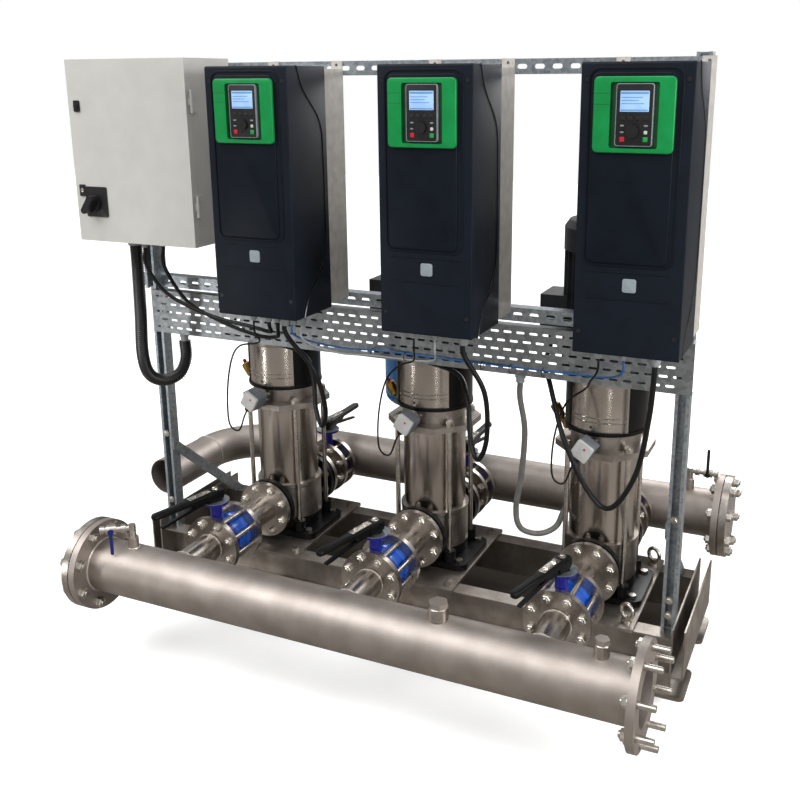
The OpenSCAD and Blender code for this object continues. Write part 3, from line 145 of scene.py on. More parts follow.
@dataclass(frozen=True)
class Finish:
    """One real surface: its colours, gloss, blotches and grain.

    tone and patch_tone are mixed in blotches of patch_mm. The grain of grain_mm drives the bump, of
    bump_mm height, and the roughness between its two limits. cells makes the blotches crystals.
    """

    name: str
    tone: str
    patch_tone: str
    metallic: float = 0.0
    rough: tuple[float, float] = (0.4, 0.5)
    patch_mm: float = 60.0
    grain_mm: float = 1.0
    bump_mm: float = 0.02
    grain: Grain = Grain.EVEN
    coat: float = 0.0
    cells: bool = False
    glow: float = 0.0
    gloss: float = 0.5

    def material(self) -> bpy.types.Material:
        """Build the material once and return it."""
        known = bpy.data.materials.get(self.name)
        if known is not None:
            return known
        made = bpy.data.materials.new(self.name)
        tree = empty_tree(made)
        coords = add_node(tree, "ShaderNodeTexCoord").outputs["Object"]
        stretch = tuple(np.array(self.grain.value) / (self.grain_mm * MM))
        placed = add_node(tree, "ShaderNodeMapping", {"Vector": coords, "Scale": stretch}).outputs[0]
        lines = {"Vector": placed, "Scale": 1.0, "Detail": 3.0}
        grain = add_node(tree, "ShaderNodeTexNoise", lines).outputs[0]
        relief = {"Height": grain, "Strength": 1.0, "Distance": self.bump_mm * MM}
        patches = self._patches(tree, coords)
        surface = {
            "Base Color": blend(tree, patches, linear(self.tone), linear(self.patch_tone)),
            "Roughness": remap(tree, grain, (0.3, 0.7), self.rough),
            "Normal": add_node(tree, "ShaderNodeBump", relief).outputs[0],
            "Metallic": self.metallic,
            "Coat Weight": self.coat,
            "Specular IOR Level": self.gloss,
        }
        if self.glow:
            surface["Emission Color"] = linear(self.tone)
            surface["Emission Strength"] = self.glow
        shader = add_node(tree, "ShaderNodeBsdfPrincipled", surface)
        add_node(tree, "ShaderNodeOutputMaterial", {"Surface": shader.outputs[0]})
        return made

    def _patches(self, tree: Tree, coords: Socket) -> Socket:
        """Blotches or crystals as a value from zero to one."""
        scale = 1.0 / (self.patch_mm * MM)
        if self.cells:
            cells = add_node(tree, "ShaderNodeTexVoronoi", {"Vector": coords, "Scale": scale})
            return add_node(tree, "ShaderNodeSeparateColor", {0: cells.outputs["Color"]}).outputs[0]
        noise = add_node(tree, "ShaderNodeTexNoise", {"Vector": coords, "Scale": scale, "Detail": 4.0})
        return remap(tree, noise.outputs[0], (0.35, 0.65))


# Pickled stainless pipe: satin, warm grey, with cloudy acid marks
PICKLED = Finish("pickled_stainless", "#b4aba5", "#a49b94", 1.0, (0.49, 0.55), 80, 2.0, 0.02, Grain.ALONG_X)
# Turned stainless of flanges and spools: finer, a little brighter
TURNED = Finish("turned_stainless", "#bbb4ad", "#a09891", 1.0, (0.24, 0.36), 50, 2.4, 0.03)
# Folded stainless plate of the skid: dull, walked on, with grey clouds
PLATE = Finish("folded_stainless_plate", "#b0a9a2", "#918981", 1.0, (0.40, 0.54), 70, 5.0, 0.05)
# Polished stainless tube: fine lines round the tube draw reflections out along it
POLISHED = Finish(
    "polished_stainless_tube", "#c0b8b0", "#ada59d", 1.0, (0.17, 0.25), 160, 1.4, 0.07, Grain.ROUND_Z
)
# Cast stainless: glass-bead blasted, even and bright
CAST_STEEL = Finish("cast_stainless", "#b0a9a2", "#968f88", 1.0, (0.30, 0.44), 40, 2.6, 0.04)
# Bright steel of bolts, nuts and tie rods
BRIGHT = Finish("bright_steel", "#d6d1c9", "#bdb7ae", 1.0, (0.20, 0.32), 25, 1.2, 0.01)
# Strip-galvanised strut: bluish grey with small crystals
ZINC = Finish("galvanised_strut", "#b3babf", "#8e969d", 0.85, (0.30, 0.46), 9, 1.5, 0.008, cells=True)
# Strip-galvanised sheet of the tray: brighter, with larger crystals
TRAY = Finish(
    "galvanised_sheet", "#a0a4a6", "#84898c", 0.88, (0.34, 0.48), 14, 1.5, 0.006, Grain.ALONG_X, cells=True
)
# Zinc-coated sheet of the drive housings: warm light grey
HOUSING = Finish("zinc_coated_housing", "#d3cfc9", "#c3beb8", 0.25, (0.40, 0.52), 30, 1.4, 0.006)
# Black dipped enamel on grey iron: low gloss with a sand-cast skin
ENAMEL = Finish("black_enamel_on_iron", "#0a0a0b", "#0f0f10", 0.0, (0.28, 0.44), 40, 2.5, 0.06, gloss=0.22)
# Dark blue epoxy on iron valve bodies
BLUE_EPOXY = Finish("dark_blue_epoxy", "#10178a", "#0c1270", 0.0, (0.25, 0.4), 30, 2.2, 0.05, coat=0.2)
# Bright blue epoxy on the check valves
SKY_EPOXY = Finish("bright_blue_epoxy", "#0a58c8", "#0849a8", 0.0, (0.16, 0.28), 30, 2.2, 0.03, coat=0.4)
# Gloss blue stove enamel of the tank
TANK = Finish("blue_stove_enamel", "#1c86d6", "#1a79c4", 0.0, (0.18, 0.26), 80, 3.0, 0.01, coat=0.3)
# Dark grey motor paint over ribbed aluminium
MOTOR = Finish("dark_motor_paint", "#2c2e31", "#232528", 0.0, (0.4, 0.55), 50, 1.5, 0.03)
# Pressed fibre gasket
GASKET = Finish("fibre_gasket", "#191919", "#242424", 0.0, (0.6, 0.75), 10, 0.8, 0.02)
# Bare brass turned and cast
BRASS = Finish("bare_brass", "#b8924a", "#8f6d33", 1.0, (0.26, 0.42), 14, 1.0, 0.01)
# Red moulded cap
RED = Finish("red_moulded_cap", "#b3161a", "#a01215", 0.0, (0.3, 0.4), 10, 0.8, 0.01)
# Grey ABS of the pressure switches
SENSOR = Finish("grey_abs", "#6d7278", "#646970", 0.0, (0.35, 0.48), 20, 0.8, 0.01)
# Pale ABS of the switch faces
SENSOR_FACE = Finish("pale_abs", "#c9c9c7", "#bebebc", 0.0, (0.4, 0.5), 20, 0.8, 0.01)
# Fine grained navy polycarbonate of the drives
NAVY = Finish(
    "grained_navy_polycarbonate", "#131a25", "#10161f", 0.0, (0.40, 0.52), 60, 0.7, 0.03, gloss=0.16
)
# Smoother navy of the raised front panel
NAVY_PANEL = Finish(
    "smooth_navy_polycarbonate", "#111822", "#0e141d", 0.0, (0.34, 0.44), 60, 0.7, 0.012, gloss=0.14
)
# Green polycarbonate bezel
GREEN = Finish("green_polycarbonate", "#0a9148", "#088742", 0.0, (0.3, 0.4), 40, 0.7, 0.01, gloss=0.35)
# Black keypad plastic
BLACK_ABS = Finish("black_abs", "#141416", "#1a1a1d", 0.0, (0.3, 0.42), 20, 0.8, 0.012)
# Silver-grey key plastic
KEY_GREY = Finish("grey_key_plastic", "#8c9098", "#7f838b", 0.0, (0.35, 0.45), 10, 0.8, 0.008)
# Red and green key plastic
KEY_RED = Finish("red_key_plastic", "#c8202a", "#b81b24", 0.0, (0.3, 0.4), 8, 0.8, 0.008)
KEY_GREEN = Finish("green_key_plastic", "#16a04a", "#149044", 0.0, (0.3, 0.4), 8, 0.8, 0.008)
# Black rubber of the soft keys
RUBBER = Finish("black_key_rubber", "#08080a", "#0e0e10", 0.0, (0.5, 0.6), 10, 0.8, 0.01)
# Shaded green inside the bezel
DEEP_GREEN = Finish("shaded_green_polycarbonate", "#075026", "#064521", 0.0, (0.4, 0.5), 40, 0.7, 0.01)
# Bare grey badge of the drives
BADGE = Finish("grey_badge_plastic", "#8f9aa0", "#88939a", 0.0, (0.3, 0.4), 20, 0.8, 0.006)
# Bright weld bead: glossy metal, its light tone partly bare steel and partly a painted highlight along the
# bead
WELD = Finish("brushed_weld_bead", "#e6e0d8", "#c9c3ba", 0.6, (0.2, 0.34), 12, 1.2, 0.02)
# Darker rows of the display
SCREEN_BAR = Finish(
    "screen_rows", "#6c97c4", "#648fbd", 0.0, (0.12, 0.2), 30, 1.0, 0.0, coat=0.5, glow=0.25
)
# Glossy bead of the drives' seam
SEAM = Finish("glossy_black_rubber", "#0b0d11", "#0e1014", 0.0, (0.16, 0.24), 20, 0.8, 0.006)
# Back-lit liquid crystal display
SCREEN = Finish("backlit_screen", "#9fc3ee", "#8fb5e6", 0.0, (0.12, 0.2), 30, 1.0, 0.0, coat=0.5, glow=0.35)
# Textured light grey powder coat of the cabinet
POWDER = Finish("light_grey_powder_coat", "#cbcac5", "#c5c4bf", 0.0, (0.42, 0.55), 90, 1.6, 0.04)
# Grey nylon of the cable glands
NYLON = Finish("grey_nylon", "#9da1a4", "#93979a", 0.0, (0.4, 0.5), 15, 0.8, 0.01)
# Black corrugated polyamide of the conduit
CORRUGATED = Finish("black_polyamide", "#0a0a0b", "#0f0f10", 0.0, (0.24, 0.34), 20, 1.0, 0.01, gloss=0.7)
# Black PVC cable sheath
SHEATH = Finish("black_pvc_sheath", "#0a0a0b", "#0f0f10", 0.0, (0.34, 0.46), 25, 1.0, 0.01, gloss=0.3)
# Blue and pale cable sheaths of the control lines
BLUE_SHEATH = Finish("blue_pvc_sheath", "#2b6fb4", "#2663a2", 0.0, (0.36, 0.48), 25, 1.0, 0.01)
PALE_SHEATH = Finish("pale_pvc_sheath", "#c7cbcd", "#b8bcbe", 0.0, (0.36, 0.48), 25, 1.0, 0.01)
# Grey flexible hose
HOSE = Finish("grey_pvc_hose", "#6d6b68", "#605e5b", 0.0, (0.4, 0.5), 25, 1.0, 0.01)
# Black powder coat on the pressed lever steel
LEVER = Finish("black_powder_coat", "#080808", "#0c0c0d", 0.0, (0.30, 0.42), 18, 1.2, 0.02, gloss=0.2)
# Blue vinyl sleeve of the drain handle
VINYL = Finish("blue_vinyl_sleeve", "#14206e", "#101a5c", 0.0, (0.3, 0.4), 15, 1.0, 0.01)

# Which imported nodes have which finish; numbered nodes go by their name without the number
FINISHED_NODES: tuple[tuple[Finish, str], ...] = (
    (PLATE, "base_beams pump_plates base_feet"),
    (ZINC, "frame_posts cross_struts post_braces"),
    (TRAY, "cable_tray"),
    (PICKLED, "suction_manifold discharge_manifold"),
    (TURNED, "blind_flanges pipe_spools"),
    (GASKET, "flange_gaskets"),
    (BRIGHT, "plate_bolts flange_bolts tie_rods ball_valves pump_shaft"),
    (ENAMEL, "pump_feet pump_flanges"),
    (CAST_STEEL, "pump_casings stage_chambers motor_brackets"),
    (POLISHED, "pump_sleeves coupling_guards"),
    (MOTOR, "motors"),
    (SKY_EPOXY, "check_valves"),
    (BLUE_EPOXY, "valve_bodies"),
    (BRASS, "air_vents"),
    (TANK, "pressure_tank"),
    (HOUSING, "drive_chassis"),
    (NAVY, "drive_covers"),
    (GREEN, "keypads"),
    (SENSOR, "pressure_sensors"),
    (POWDER, "cabinet_body cabinet_door"),
    (NYLON, "cable_glands"),
    (VINYL, "drain_handle"),
    (LEVER, "suction_lever discharge_lever suction_trigger discharge_trigger"),
    (BLACK_ABS, "gauge_handle disconnect_handle door_lock keypad_wheel"),
)
NODE_FINISH = {name: finish for finish, names in FINISHED_NODES for name in names.split()}


class Shell:
    """Grids of points that become the faces of one mesh.

    A grid's rows are rings or strips. A ring runs anticlockwise about the way its rows follow each
    other, so faces point outwards.
    """

    def __init__(self) -> None:
        """Start with no points."""
        self.points: list[Array] = []
        self.quads: list[Array] = []
        self.caps: list[list[int]] = []
        self.count = 0

    def grid(self, points: Array, wrap_rows: bool = False, caps: bool = False) -> None:
        """Add a grid whose columns close on themselves.

        Args:
            points: rows, columns and coordinates.
            wrap_rows: the last row joins the first.
            caps: the first and the last row are closed by flat faces.
        """
        rows, cols = points.shape[:2]
        index = np.arange(rows * cols).reshape(rows, cols) + self.count
        near = index if wrap_rows else index[:-1]
        far = np.roll(index, -1, axis=0) if wrap_rows else index[1:]
        quads = np.stack([near, np.roll(near, -1, axis=1), np.roll(far, -1, axis=1), far], axis=-1)
        self.quads.append(quads.reshape(-1, 4))
        if caps:
            self.caps.append(index[0][::-1].tolist())
            self.caps.append(index[-1].tolist())
        self.points.append(points.reshape(-1, 3))
        self.count += rows * cols

    def mesh(self, name: str, crease: float) -> bpy.types.Mesh:
        """Make the mesh; edges sharper than crease, in degrees, stay sharp."""
        mesh = bpy.data.meshes.new(name)
        faces = np.concatenate(self.quads).tolist() + self.caps
        mesh.from_pydata(np.concatenate(self.points).tolist(), [], faces)
        work = bmesh.new()
        work.from_mesh(mesh)
        bmesh.ops.remove_doubles(work, verts=work.verts, dist=1e-6)
        bmesh.ops.dissolve_degenerate(work, edges=work.edges, dist=1e-7)
        bmesh.ops.recalc_face_normals(work, faces=work.faces)
        work.to_mesh(mesh)
        work.free()
        mesh.polygons.foreach_set("use_smooth", np.ones(len(mesh.polygons), dtype=bool))
        mesh.set_sharp_from_angle(angle=math.radians(crease))
        return mesh


def make_piece(
    name: str,
    finish: Finish,
    capped: Grids = (),
    closed: Grids = (),
    body: str = SKID,
    slot: str = "",
    replaces: str = "",
    crease: float = 35.0,
) -> bpy.types.Object:
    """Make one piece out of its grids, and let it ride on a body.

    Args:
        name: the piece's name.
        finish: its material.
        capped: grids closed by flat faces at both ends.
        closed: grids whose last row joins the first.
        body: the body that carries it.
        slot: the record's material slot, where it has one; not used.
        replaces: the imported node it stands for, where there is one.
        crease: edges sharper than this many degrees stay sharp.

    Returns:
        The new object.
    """
    shell = Shell()
    for points in closed:
        shell.grid(points, wrap_rows=True)
    for points in capped:
        shell.grid(points, caps=True)
    mesh = shell.mesh(name, crease)
    mesh.materials.append(finish.material())
    made = bpy.data.objects.new(name, mesh)
    bpy.context.scene.collection.objects.link(made)
    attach(made, body)
    if replaces:
        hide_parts(replaces)
    LOG.info("%s: %d faces on %s", name, len(mesh.polygons), body)
    return made


@dataclass(frozen=True)
class Place:
    """A point with three axes at right angles; right crossed with up gives out."""

    at: Point
    right: Point = (1.0, 0.0, 0.0)
    up: Point = (0.0, 1.0, 0.0)

    @property
    def out(self) -> Array:
        """The third axis."""
        return np.cross(self.right, self.up)

    def put(self, local: Array) -> Array:
        """Carry local points of any shape into the part's frame."""
        axes = np.array([self.right, self.up, self.out])
        return np.asarray(local) @ axes + np.array(self.at)

    def moved(self, right: float, up: float, out: float) -> Place:
        """The same axes at a point that far along each of them, in metres."""
        return Place(tuple(self.put([right, up, out])), self.right, self.up)


def mm(*values: float) -> tuple[float, ...]:
    """Turn millimetres into metres."""
    return tuple(MM * value for value in values)


def facing_front(x: float, y: float, z: float) -> Place:
    """A place on a front face, given in millimetres: right is +X, up is +Z and out is -Y."""
    return Place(mm(x, y, z), (1.0, 0.0, 0.0), (0.0, 0.0, 1.0))


def facing_up(x: float, y: float, z: float) -> Place:
    """A place on a level face, given in millimetres: right is +X, up is +Y and out is +Z."""
    return Place(mm(x, y, z), (1.0, 0.0, 0.0), (0.0, 1.0, 0.0))


def along(axis: Sequence[float], at: Sequence[float]) -> Place:
    """A place at a point whose out axis follows the given axis."""
    out = np.array(axis, float) / np.linalg.norm(axis)
    helper = np.array([0.0, 0.0, 1.0]) if abs(out[2]) < 0.9 else np.array([1.0, 0.0, 0.0])
    right = np.cross(helper, out)
    right /= np.linalg.norm(right)
    up = np.cross(out, right)
    return Place(tuple(at), tuple(right), tuple(up))


def revolve(profile: Sequence[tuple[float, float]], place: Place, sides: int = 32) -> Array:
    """A profile of radius and height, in millimetres, turned about the place's out axis."""
    line = np.array(profile, float) * MM
    turn = np.linspace(0.0, 2.0 * np.pi, sides, endpoint=False)
    ring = np.stack([np.cos(turn), np.sin(turn)], axis=-1)
    flat = line[:, None, :1] * ring[None]
    high = np.broadcast_to(line[:, None, 1:], flat.shape[:2] + (1,))
    return place.put(np.concatenate([flat, high], axis=-1))


def torus(radius: float, wire: float, place: Place, sides: int = 48, around: int = 8) -> Array:
    """A ring of round wire about the place's out axis, in millimetres."""
    turn = np.linspace(0.0, 2.0 * np.pi, around, endpoint=False)
    profile = np.stack([radius - wire * np.cos(turn), wire * np.sin(turn)], axis=-1)
    return revolve(profile, place, sides)


def rounded_loop(width: float, height: float, radius: float, steps: int = 5) -> Array:
    """A rectangle with quarter-circle corners, anticlockwise about its centre."""
    turn = np.linspace(0.0, np.pi / 2.0, steps)
    corners = np.array([[1.0, 1.0], [-1.0, 1.0], [-1.0, -1.0], [1.0, -1.0]])
    centres = corners * (np.array([width, height]) / 2.0 - radius)
    angles = turn[None] + np.arange(4)[:, None] * np.pi / 2.0
    arcs = radius * np.stack([np.cos(angles), np.sin(angles)], axis=-1)
    return (centres[:, None] + arcs).reshape(-1, 2)


def sector_loop(inner: float, outer: float, start: float, end: float, steps: int = 17) -> Array:
    """A piece of a flat ring between two angles in degrees, anticlockwise."""
    turn = np.radians(np.linspace(start, end, steps))
    ring = np.stack([np.cos(turn), np.sin(turn)], axis=-1)
    return np.concatenate([outer * ring, inner * ring[::-1]])


def billet(place: Place, loop: Array, thick: float, edge: float, both: bool = True) -> Array:
    """A flat outline drawn out from the place, with quarter-round edges.

    Args:
        place: where the back of the billet lies.
        loop: anticlockwise outline in the place's right and up.
        thick: how far it is drawn out.
        edge: radius of its edges.
        both: round the back edge as well as the front one.

    Returns:
        One row of points for each level, from back to front.
    """
    tangent = np.roll(loop, -1, axis=0) - np.roll(loop, 1, axis=0)
    inward = np.stack([-tangent[:, 1], tangent[:, 0]], axis=-1)
    inward /= np.linalg.norm(inward, axis=1, keepdims=True)
    turn = np.linspace(0.0, np.pi / 2.0, 4)
    step_in = edge * (1.0 - np.cos(turn))
    step_up = edge * (1.0 - np.sin(turn))
    back = np.stack([step_in[::-1], step_up[::-1]], axis=-1) if both else np.zeros((1, 2))
    front = np.stack([step_in, thick - step_up], axis=-1)
    rows = np.concatenate([back, front])
    flat = loop[None] + rows[:, None, :1] * inward[None]
    high = np.broadcast_to(rows[:, None, 1:], flat.shape[:2] + (1,))
    return place.put(np.concatenate([flat, high], axis=-1))


def slab(place: Place, width: float, height: float, thick: float, radius: float, edge: float) -> Array:
    """A rounded plate from the place outwards, its front edge rounded by a quarter circle."""
    return billet(place, rounded_loop(width, height, radius), thick, edge, both=False)


def rim(
    place: Place, outer: Sequence[float], inner: Sequence[float], thick: float, edge: float, steps: int = 5
) -> Array:
    """A rounded frame with a window: outer wall, rounded outer edge, face and inner wall.

    Args:
        place: where the back of the frame lies.
        outer: width, height and corner radius outside.
        inner: width, height and corner radius of the window, then its centre's shift along right and up.
        thick: thickness of the frame.
        edge: radius of the outer front edge.
        steps: points in each corner.

    Returns:
        A grid whose rows close on themselves.
    """
    turn = np.linspace(0.0, np.pi / 2.0, 4)
    rows = [(0.0, 0.0)] + [(edge * (1 - math.cos(t)), thick - edge + edge * math.sin(t)) for t in turn]
    loops = []
    for i, level in rows:
        loop = rounded_loop(outer[0] - 2 * i, outer[1] - 2 * i, outer[2] - i, steps)
        loops.append(np.column_stack([loop, np.full(4 * steps, level)]))
    shift = np.array([inner[3], inner[4], 0.0])
    for level in (thick, 0.0):
        loop = rounded_loop(inner[0], inner[1], inner[2], steps)
        loops.append(np.column_stack([loop, np.full(4 * steps, level)]) + shift)
    return place.put(np.array(loops))


def hex_nut(place: Place, radius: float, height: float) -> Array:
    """A hexagon nut with chamfered corners from the place outwards."""
    turn = np.linspace(0.0, 2.0 * np.pi, 6, endpoint=False)
    ring = np.stack([np.cos(turn), np.sin(turn)], axis=-1)
    rows = ((radius, 0.0), (radius, 0.82 * height), (0.86 * radius, height))
    local = np.array([np.column_stack([r * ring, np.full(6, h)]) for r, h in rows])
    return place.put(local)


def smooth_path(route: Sequence[Point], count: int) -> Array:
    """A Catmull-Rom curve through a route's points, spaced evenly along its length.

    Args:
        route: the points it passes through.
        count: number of points wanted.

    Returns:
        The evenly spaced points.
    """
    knots = np.array(route, float)
    padded = np.vstack([2 * knots[0] - knots[1], knots, 2 * knots[-1] - knots[-2]])
    step = np.linspace(0.0, 1.0, 24, endpoint=False)[:, None, None]
    p0, p1, p2, p3 = (padded[i : len(knots) - 1 + i] for i in range(4))
    bend = 2 * p0 - 5 * p1 + 4 * p2 - p3
    turn = 3 * p1 - p0 - 3 * p2 + p3
    curve = 0.5 * (2 * p1 + (p2 - p0) * step + bend * step**2 + turn * step**3)
    fine = np.vstack([curve.transpose(1, 0, 2).reshape(-1, 3), knots[-1:]])
    run = np.concatenate([[0.0], np.cumsum(np.linalg.norm(np.diff(fine, axis=0), axis=1))])
    even = np.linspace(0.0, run[-1], count)
    return np.stack([np.interp(even, run, fine[:, k]) for k in range(3)], axis=-1)


def tube(path: Array, radii: Array, sides: int = 14) -> Array:
    """A round tube of changing radius carried along a path without twist.

    Args:
        path: centreline points.
        radii: radius at each point.
        sides: points round the tube.

    Returns:
        One ring of points for each point of the path.
    """
    tangent = np.gradient(path, axis=0)
    tangent /= np.linalg.norm(tangent, axis=1, keepdims=True)
    normal = np.empty_like(tangent)
    first = np.cross(tangent[0], [0.3, 0.9, 0.2])
    normal[0] = first / np.linalg.norm(first)
    for i in range(1, len(path)):
        carried = normal[i - 1] - tangent[i] * float(normal[i - 1] @ tangent[i])
        normal[i] = carried / np.linalg.norm(carried)
    side = np.cross(tangent, normal)
    turn = np.linspace(0.0, 2.0 * np.pi, sides, endpoint=False)
    ring = normal[:, None] * np.cos(turn)[None, :, None] + side[:, None] * np.sin(turn)[None, :, None]
    return path[:, None] + radii[:, None, None] * ring


# Rings of points along a plain cord and along each ridge of a corrugated one, and half a groove's depth
PLAIN_RINGS = 140
RIDGE_RINGS = 6
GROOVE = 0.07


@dataclass(frozen=True)
class Cord:
    """A cable, hose or conduit that leaves one fitting and goes into another.

    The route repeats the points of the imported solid, in millimetres. A ridge gives the pitch of the
    corrugations, also in millimetres.
    """

    name: str
    node: str
    route: tuple[Point, ...]
    diameter: float
    finish: Finish
    slot: str
    stiffness: str = "medium"
    ridge: float = 0.0

    def build(self) -> None:
        """Lay the cord."""
        route = np.array(self.route) * MM
        length = float(np.linalg.norm(np.diff(smooth_path(route, 400), axis=0), axis=1).sum())
        rings = int(length / (self.ridge * MM) * RIDGE_RINGS) if self.ridge else PLAIN_RINGS
        line = smooth_path(route, rings)
        radii = np.full(rings, self.diameter / 2.0)
        if self.ridge:
            phase = np.linspace(0.0, length / (self.ridge * MM), rings) * 2.0 * np.pi
            radii *= 1.0 - GROOVE + GROOVE * np.tanh(2.0 * np.sin(phase))
        laid = make_piece(
            self.name, self.finish, [tube(line, radii)], slot=self.slot, replaces=self.node, crease=60.0
        )


# Routes of the cords between their fittings
CONDUIT_ROUTE = (
    (-823, -390, 1290), (-823, -390, 1220), (-825, -392, 1060), (-834, -388, 920), (-836, -360, 840),
    (-822, -305, 805), (-800, -248, 815), (-790, -219, 865), (-790, -219, 929),
)
HOSE_ROUTE = (
    (443, -219, 929), (443, -219, 880), (462, -225, 780), (448, -205, 630), (424, -180, 500),
    (436, -168, 430), (490, -150, 412), (530, -100, 420), (532, -20, 440), (530, 100, 480),
    (540, 240, 560), (551, 340, 620), (556, 405, 625), (556, 427, 590), (556, 427, 518.15),
)
MOTOR_ROUTES = (
    (
        (-230, -440, 1113), (-230, -440, 1060), (-150, -420, 950), (-135, -385, 820), (-170, -350, 745),
        (-215, -310, 790), (-250, -262, 880), (-340, -182, 925), (-500, -180, 950), (-650, -160, 950),
        (-714, -60, 950), (-714, 0, 985), (-714, 0, 1032),
    ),
    (
        (350, -440, 1113), (350, -440, 1060), (405, -420, 950), (400, -385, 800), (360, -350, 715),
        (320, -310, 760), (290, -262, 870), (220, -182, 920), (70, -180, 950), (-60, -160, 950),
        (-124, -60, 950), (-124, 0, 985), (-124, 0, 1032),
    ),
    (
        (880, -440, 1113), (880, -440, 1060), (868, -420, 930), (835, -390, 760), (765, -365, 640),
        (690, -330, 665), (605, -290, 790), (548, -215, 880), (520, -182, 935), (495, -140, 950),
        (466, -60, 950), (466, 0, 985), (466, 0, 1032),
    ),
)
CABINET_ROUTES = (
    (
        (-760, -420, 1290), (-760, -420, 1230), (-690, -410, 1140), (-540, -395, 1080),
        (-380, -400, 1060), (-300, -422, 1058), (-290, -440, 1080), (-290, -440, 1113),
    ),
    (
        (-720, -380, 1290), (-720, -380, 1220), (-650, -365, 1110), (-520, -355, 1050),
        (-380, -370, 1025), (-285, -410, 1040), (-260, -440, 1070), (-260, -440, 1113),
    ),
)
TRAY_ROUTES = (
    (
        (-200, -440, 1113), (-200, -440, 1060), (-110, -330, 1005), (20, -250, 985), (300, -242, 980),
        (600, -242, 980), (720, -320, 1005), (796, -440, 1060), (796, -440, 1113),
    ),
    (
        (-170, -440, 1113), (-170, -440, 1050), (-110, -340, 990), (-20, -252, 967), (120, -246, 965),
        (210, -330, 1000), (261, -440, 1060), (261, -440, 1113),
    ),
)
# Where the switch cables go into the drives, across the set
SWITCH_GLANDS = (-345, 196, 731)
# Middles of the pumps, the drives, the valve stems and the manifolds, and the height of every pipe's axis
PUMP_XS = (-524, 66, 656)
DRIVE_XS = (-249, 289, 827)
SUCTION_VALVE_Y = -453.0
DISCHARGE_VALVE_Y = 287.0
SUCTION_Y = -725.0
DISCHARGE_Y = 427.0
PIPE_Z = 320.0


def switch_route(x: float, to: float) -> tuple[Point, ...]:
    """Route of a pressure switch's cable from its gland over the tray to the drive, in millimetres."""
    return (
        (x - 43.94, -188.44, 689.43), (x - 56.37, -187.13, 667.78), (x - 78, -194, 615), (x - 112, -200, 640),
        (x - 108, -205, 760), (x - 70, -225, 880), (x, -270, 950), (to - 40, -360, 1000), (to, -440, 1060),
        (to, -440, 1113),
    )


# Drop below the drive's head and depth behind its front along the curved seam, from foot to head
SEAM_MARKS = (
    (704, 50), (672, 64), (634, 90), (575, 150), (515, 178),
    (400, 184), (260, 183), (155, 170), (62, 84), (0, 52),
)
# Plates on a drive's front: width, height, thickness, corner radius and edge radius
PANEL = (194, 447, 4, 16, 2.5)
RIB = (204, 2.4, 1.4, 1.1, 0.5)
BADGE_PLATE = (34, 34, 1.4, 6, 0.6)
BEZEL_WELL = (113, 150, 2, 4, 0.5)
FLAP_LINE = (36, 1.2, 0.5, 0.5, 0.2)
KEYPAD = (85, 140, 10.6, 5, 1.5)
GREY_KEY = (9, 4, 1.2, 1.5, 0.5)
SOFT_KEY = (11, 9, 1.4, 2, 0.6)
# Thickness, corner radius and edge radius of the screen and the flat keys, and of the screen's rows
FLAT = (1.0, 1.6, 0.4)
ROW = (0.5, 0.5, 0.1)
# Frames on a drive's front: outside, window with its shift, thickness with edge radius
LIP = ((222, 467, 26), (212, 457, 22, 0, 0), (2.2, 1.0))
BEZEL = ((190, 174, 12), (113, 150, 5, 1.5, -1), (9.5, 3.0))
KEYPAD_FRAME = ((87, 142, 6), (83.6, 138.6, 4.4, 0, 0), (11.2, 0.8))
# Rows of the screen: middle across and up from the bezel's middle, width and height
SCREEN_ROWS = ((0, 50, 64, 5), (-6, 40, 48, 2), (-10, 33, 40, 2), (-4, 26, 52, 2), (0, 11, 63, 3.5))
# Coloured keys: name, finish, middle across and up from the bezel's middle, size
COLOUR_KEYS = (
    ("stop_key", KEY_RED, -26, -55, 11),
    ("run_key", KEY_GREEN, 28, -55, 11),
    ("white_key", SENSOR_FACE, 28, -39, 8),
)


@dataclass(frozen=True)
class Unit:
    """One of three like sub-assemblies, by its number and its middle across the set."""

    number: int
    x: float

    def _make(self, part: str, finish: Finish, capped: Grids = (), closed: Grids = (), **ties: str) -> None:
        """Make one piece, named after the unit."""
        kind = type(self).__name__.lower()
        make_piece(f"{kind}_{self.number}_{part}", finish, capped, closed, **ties)


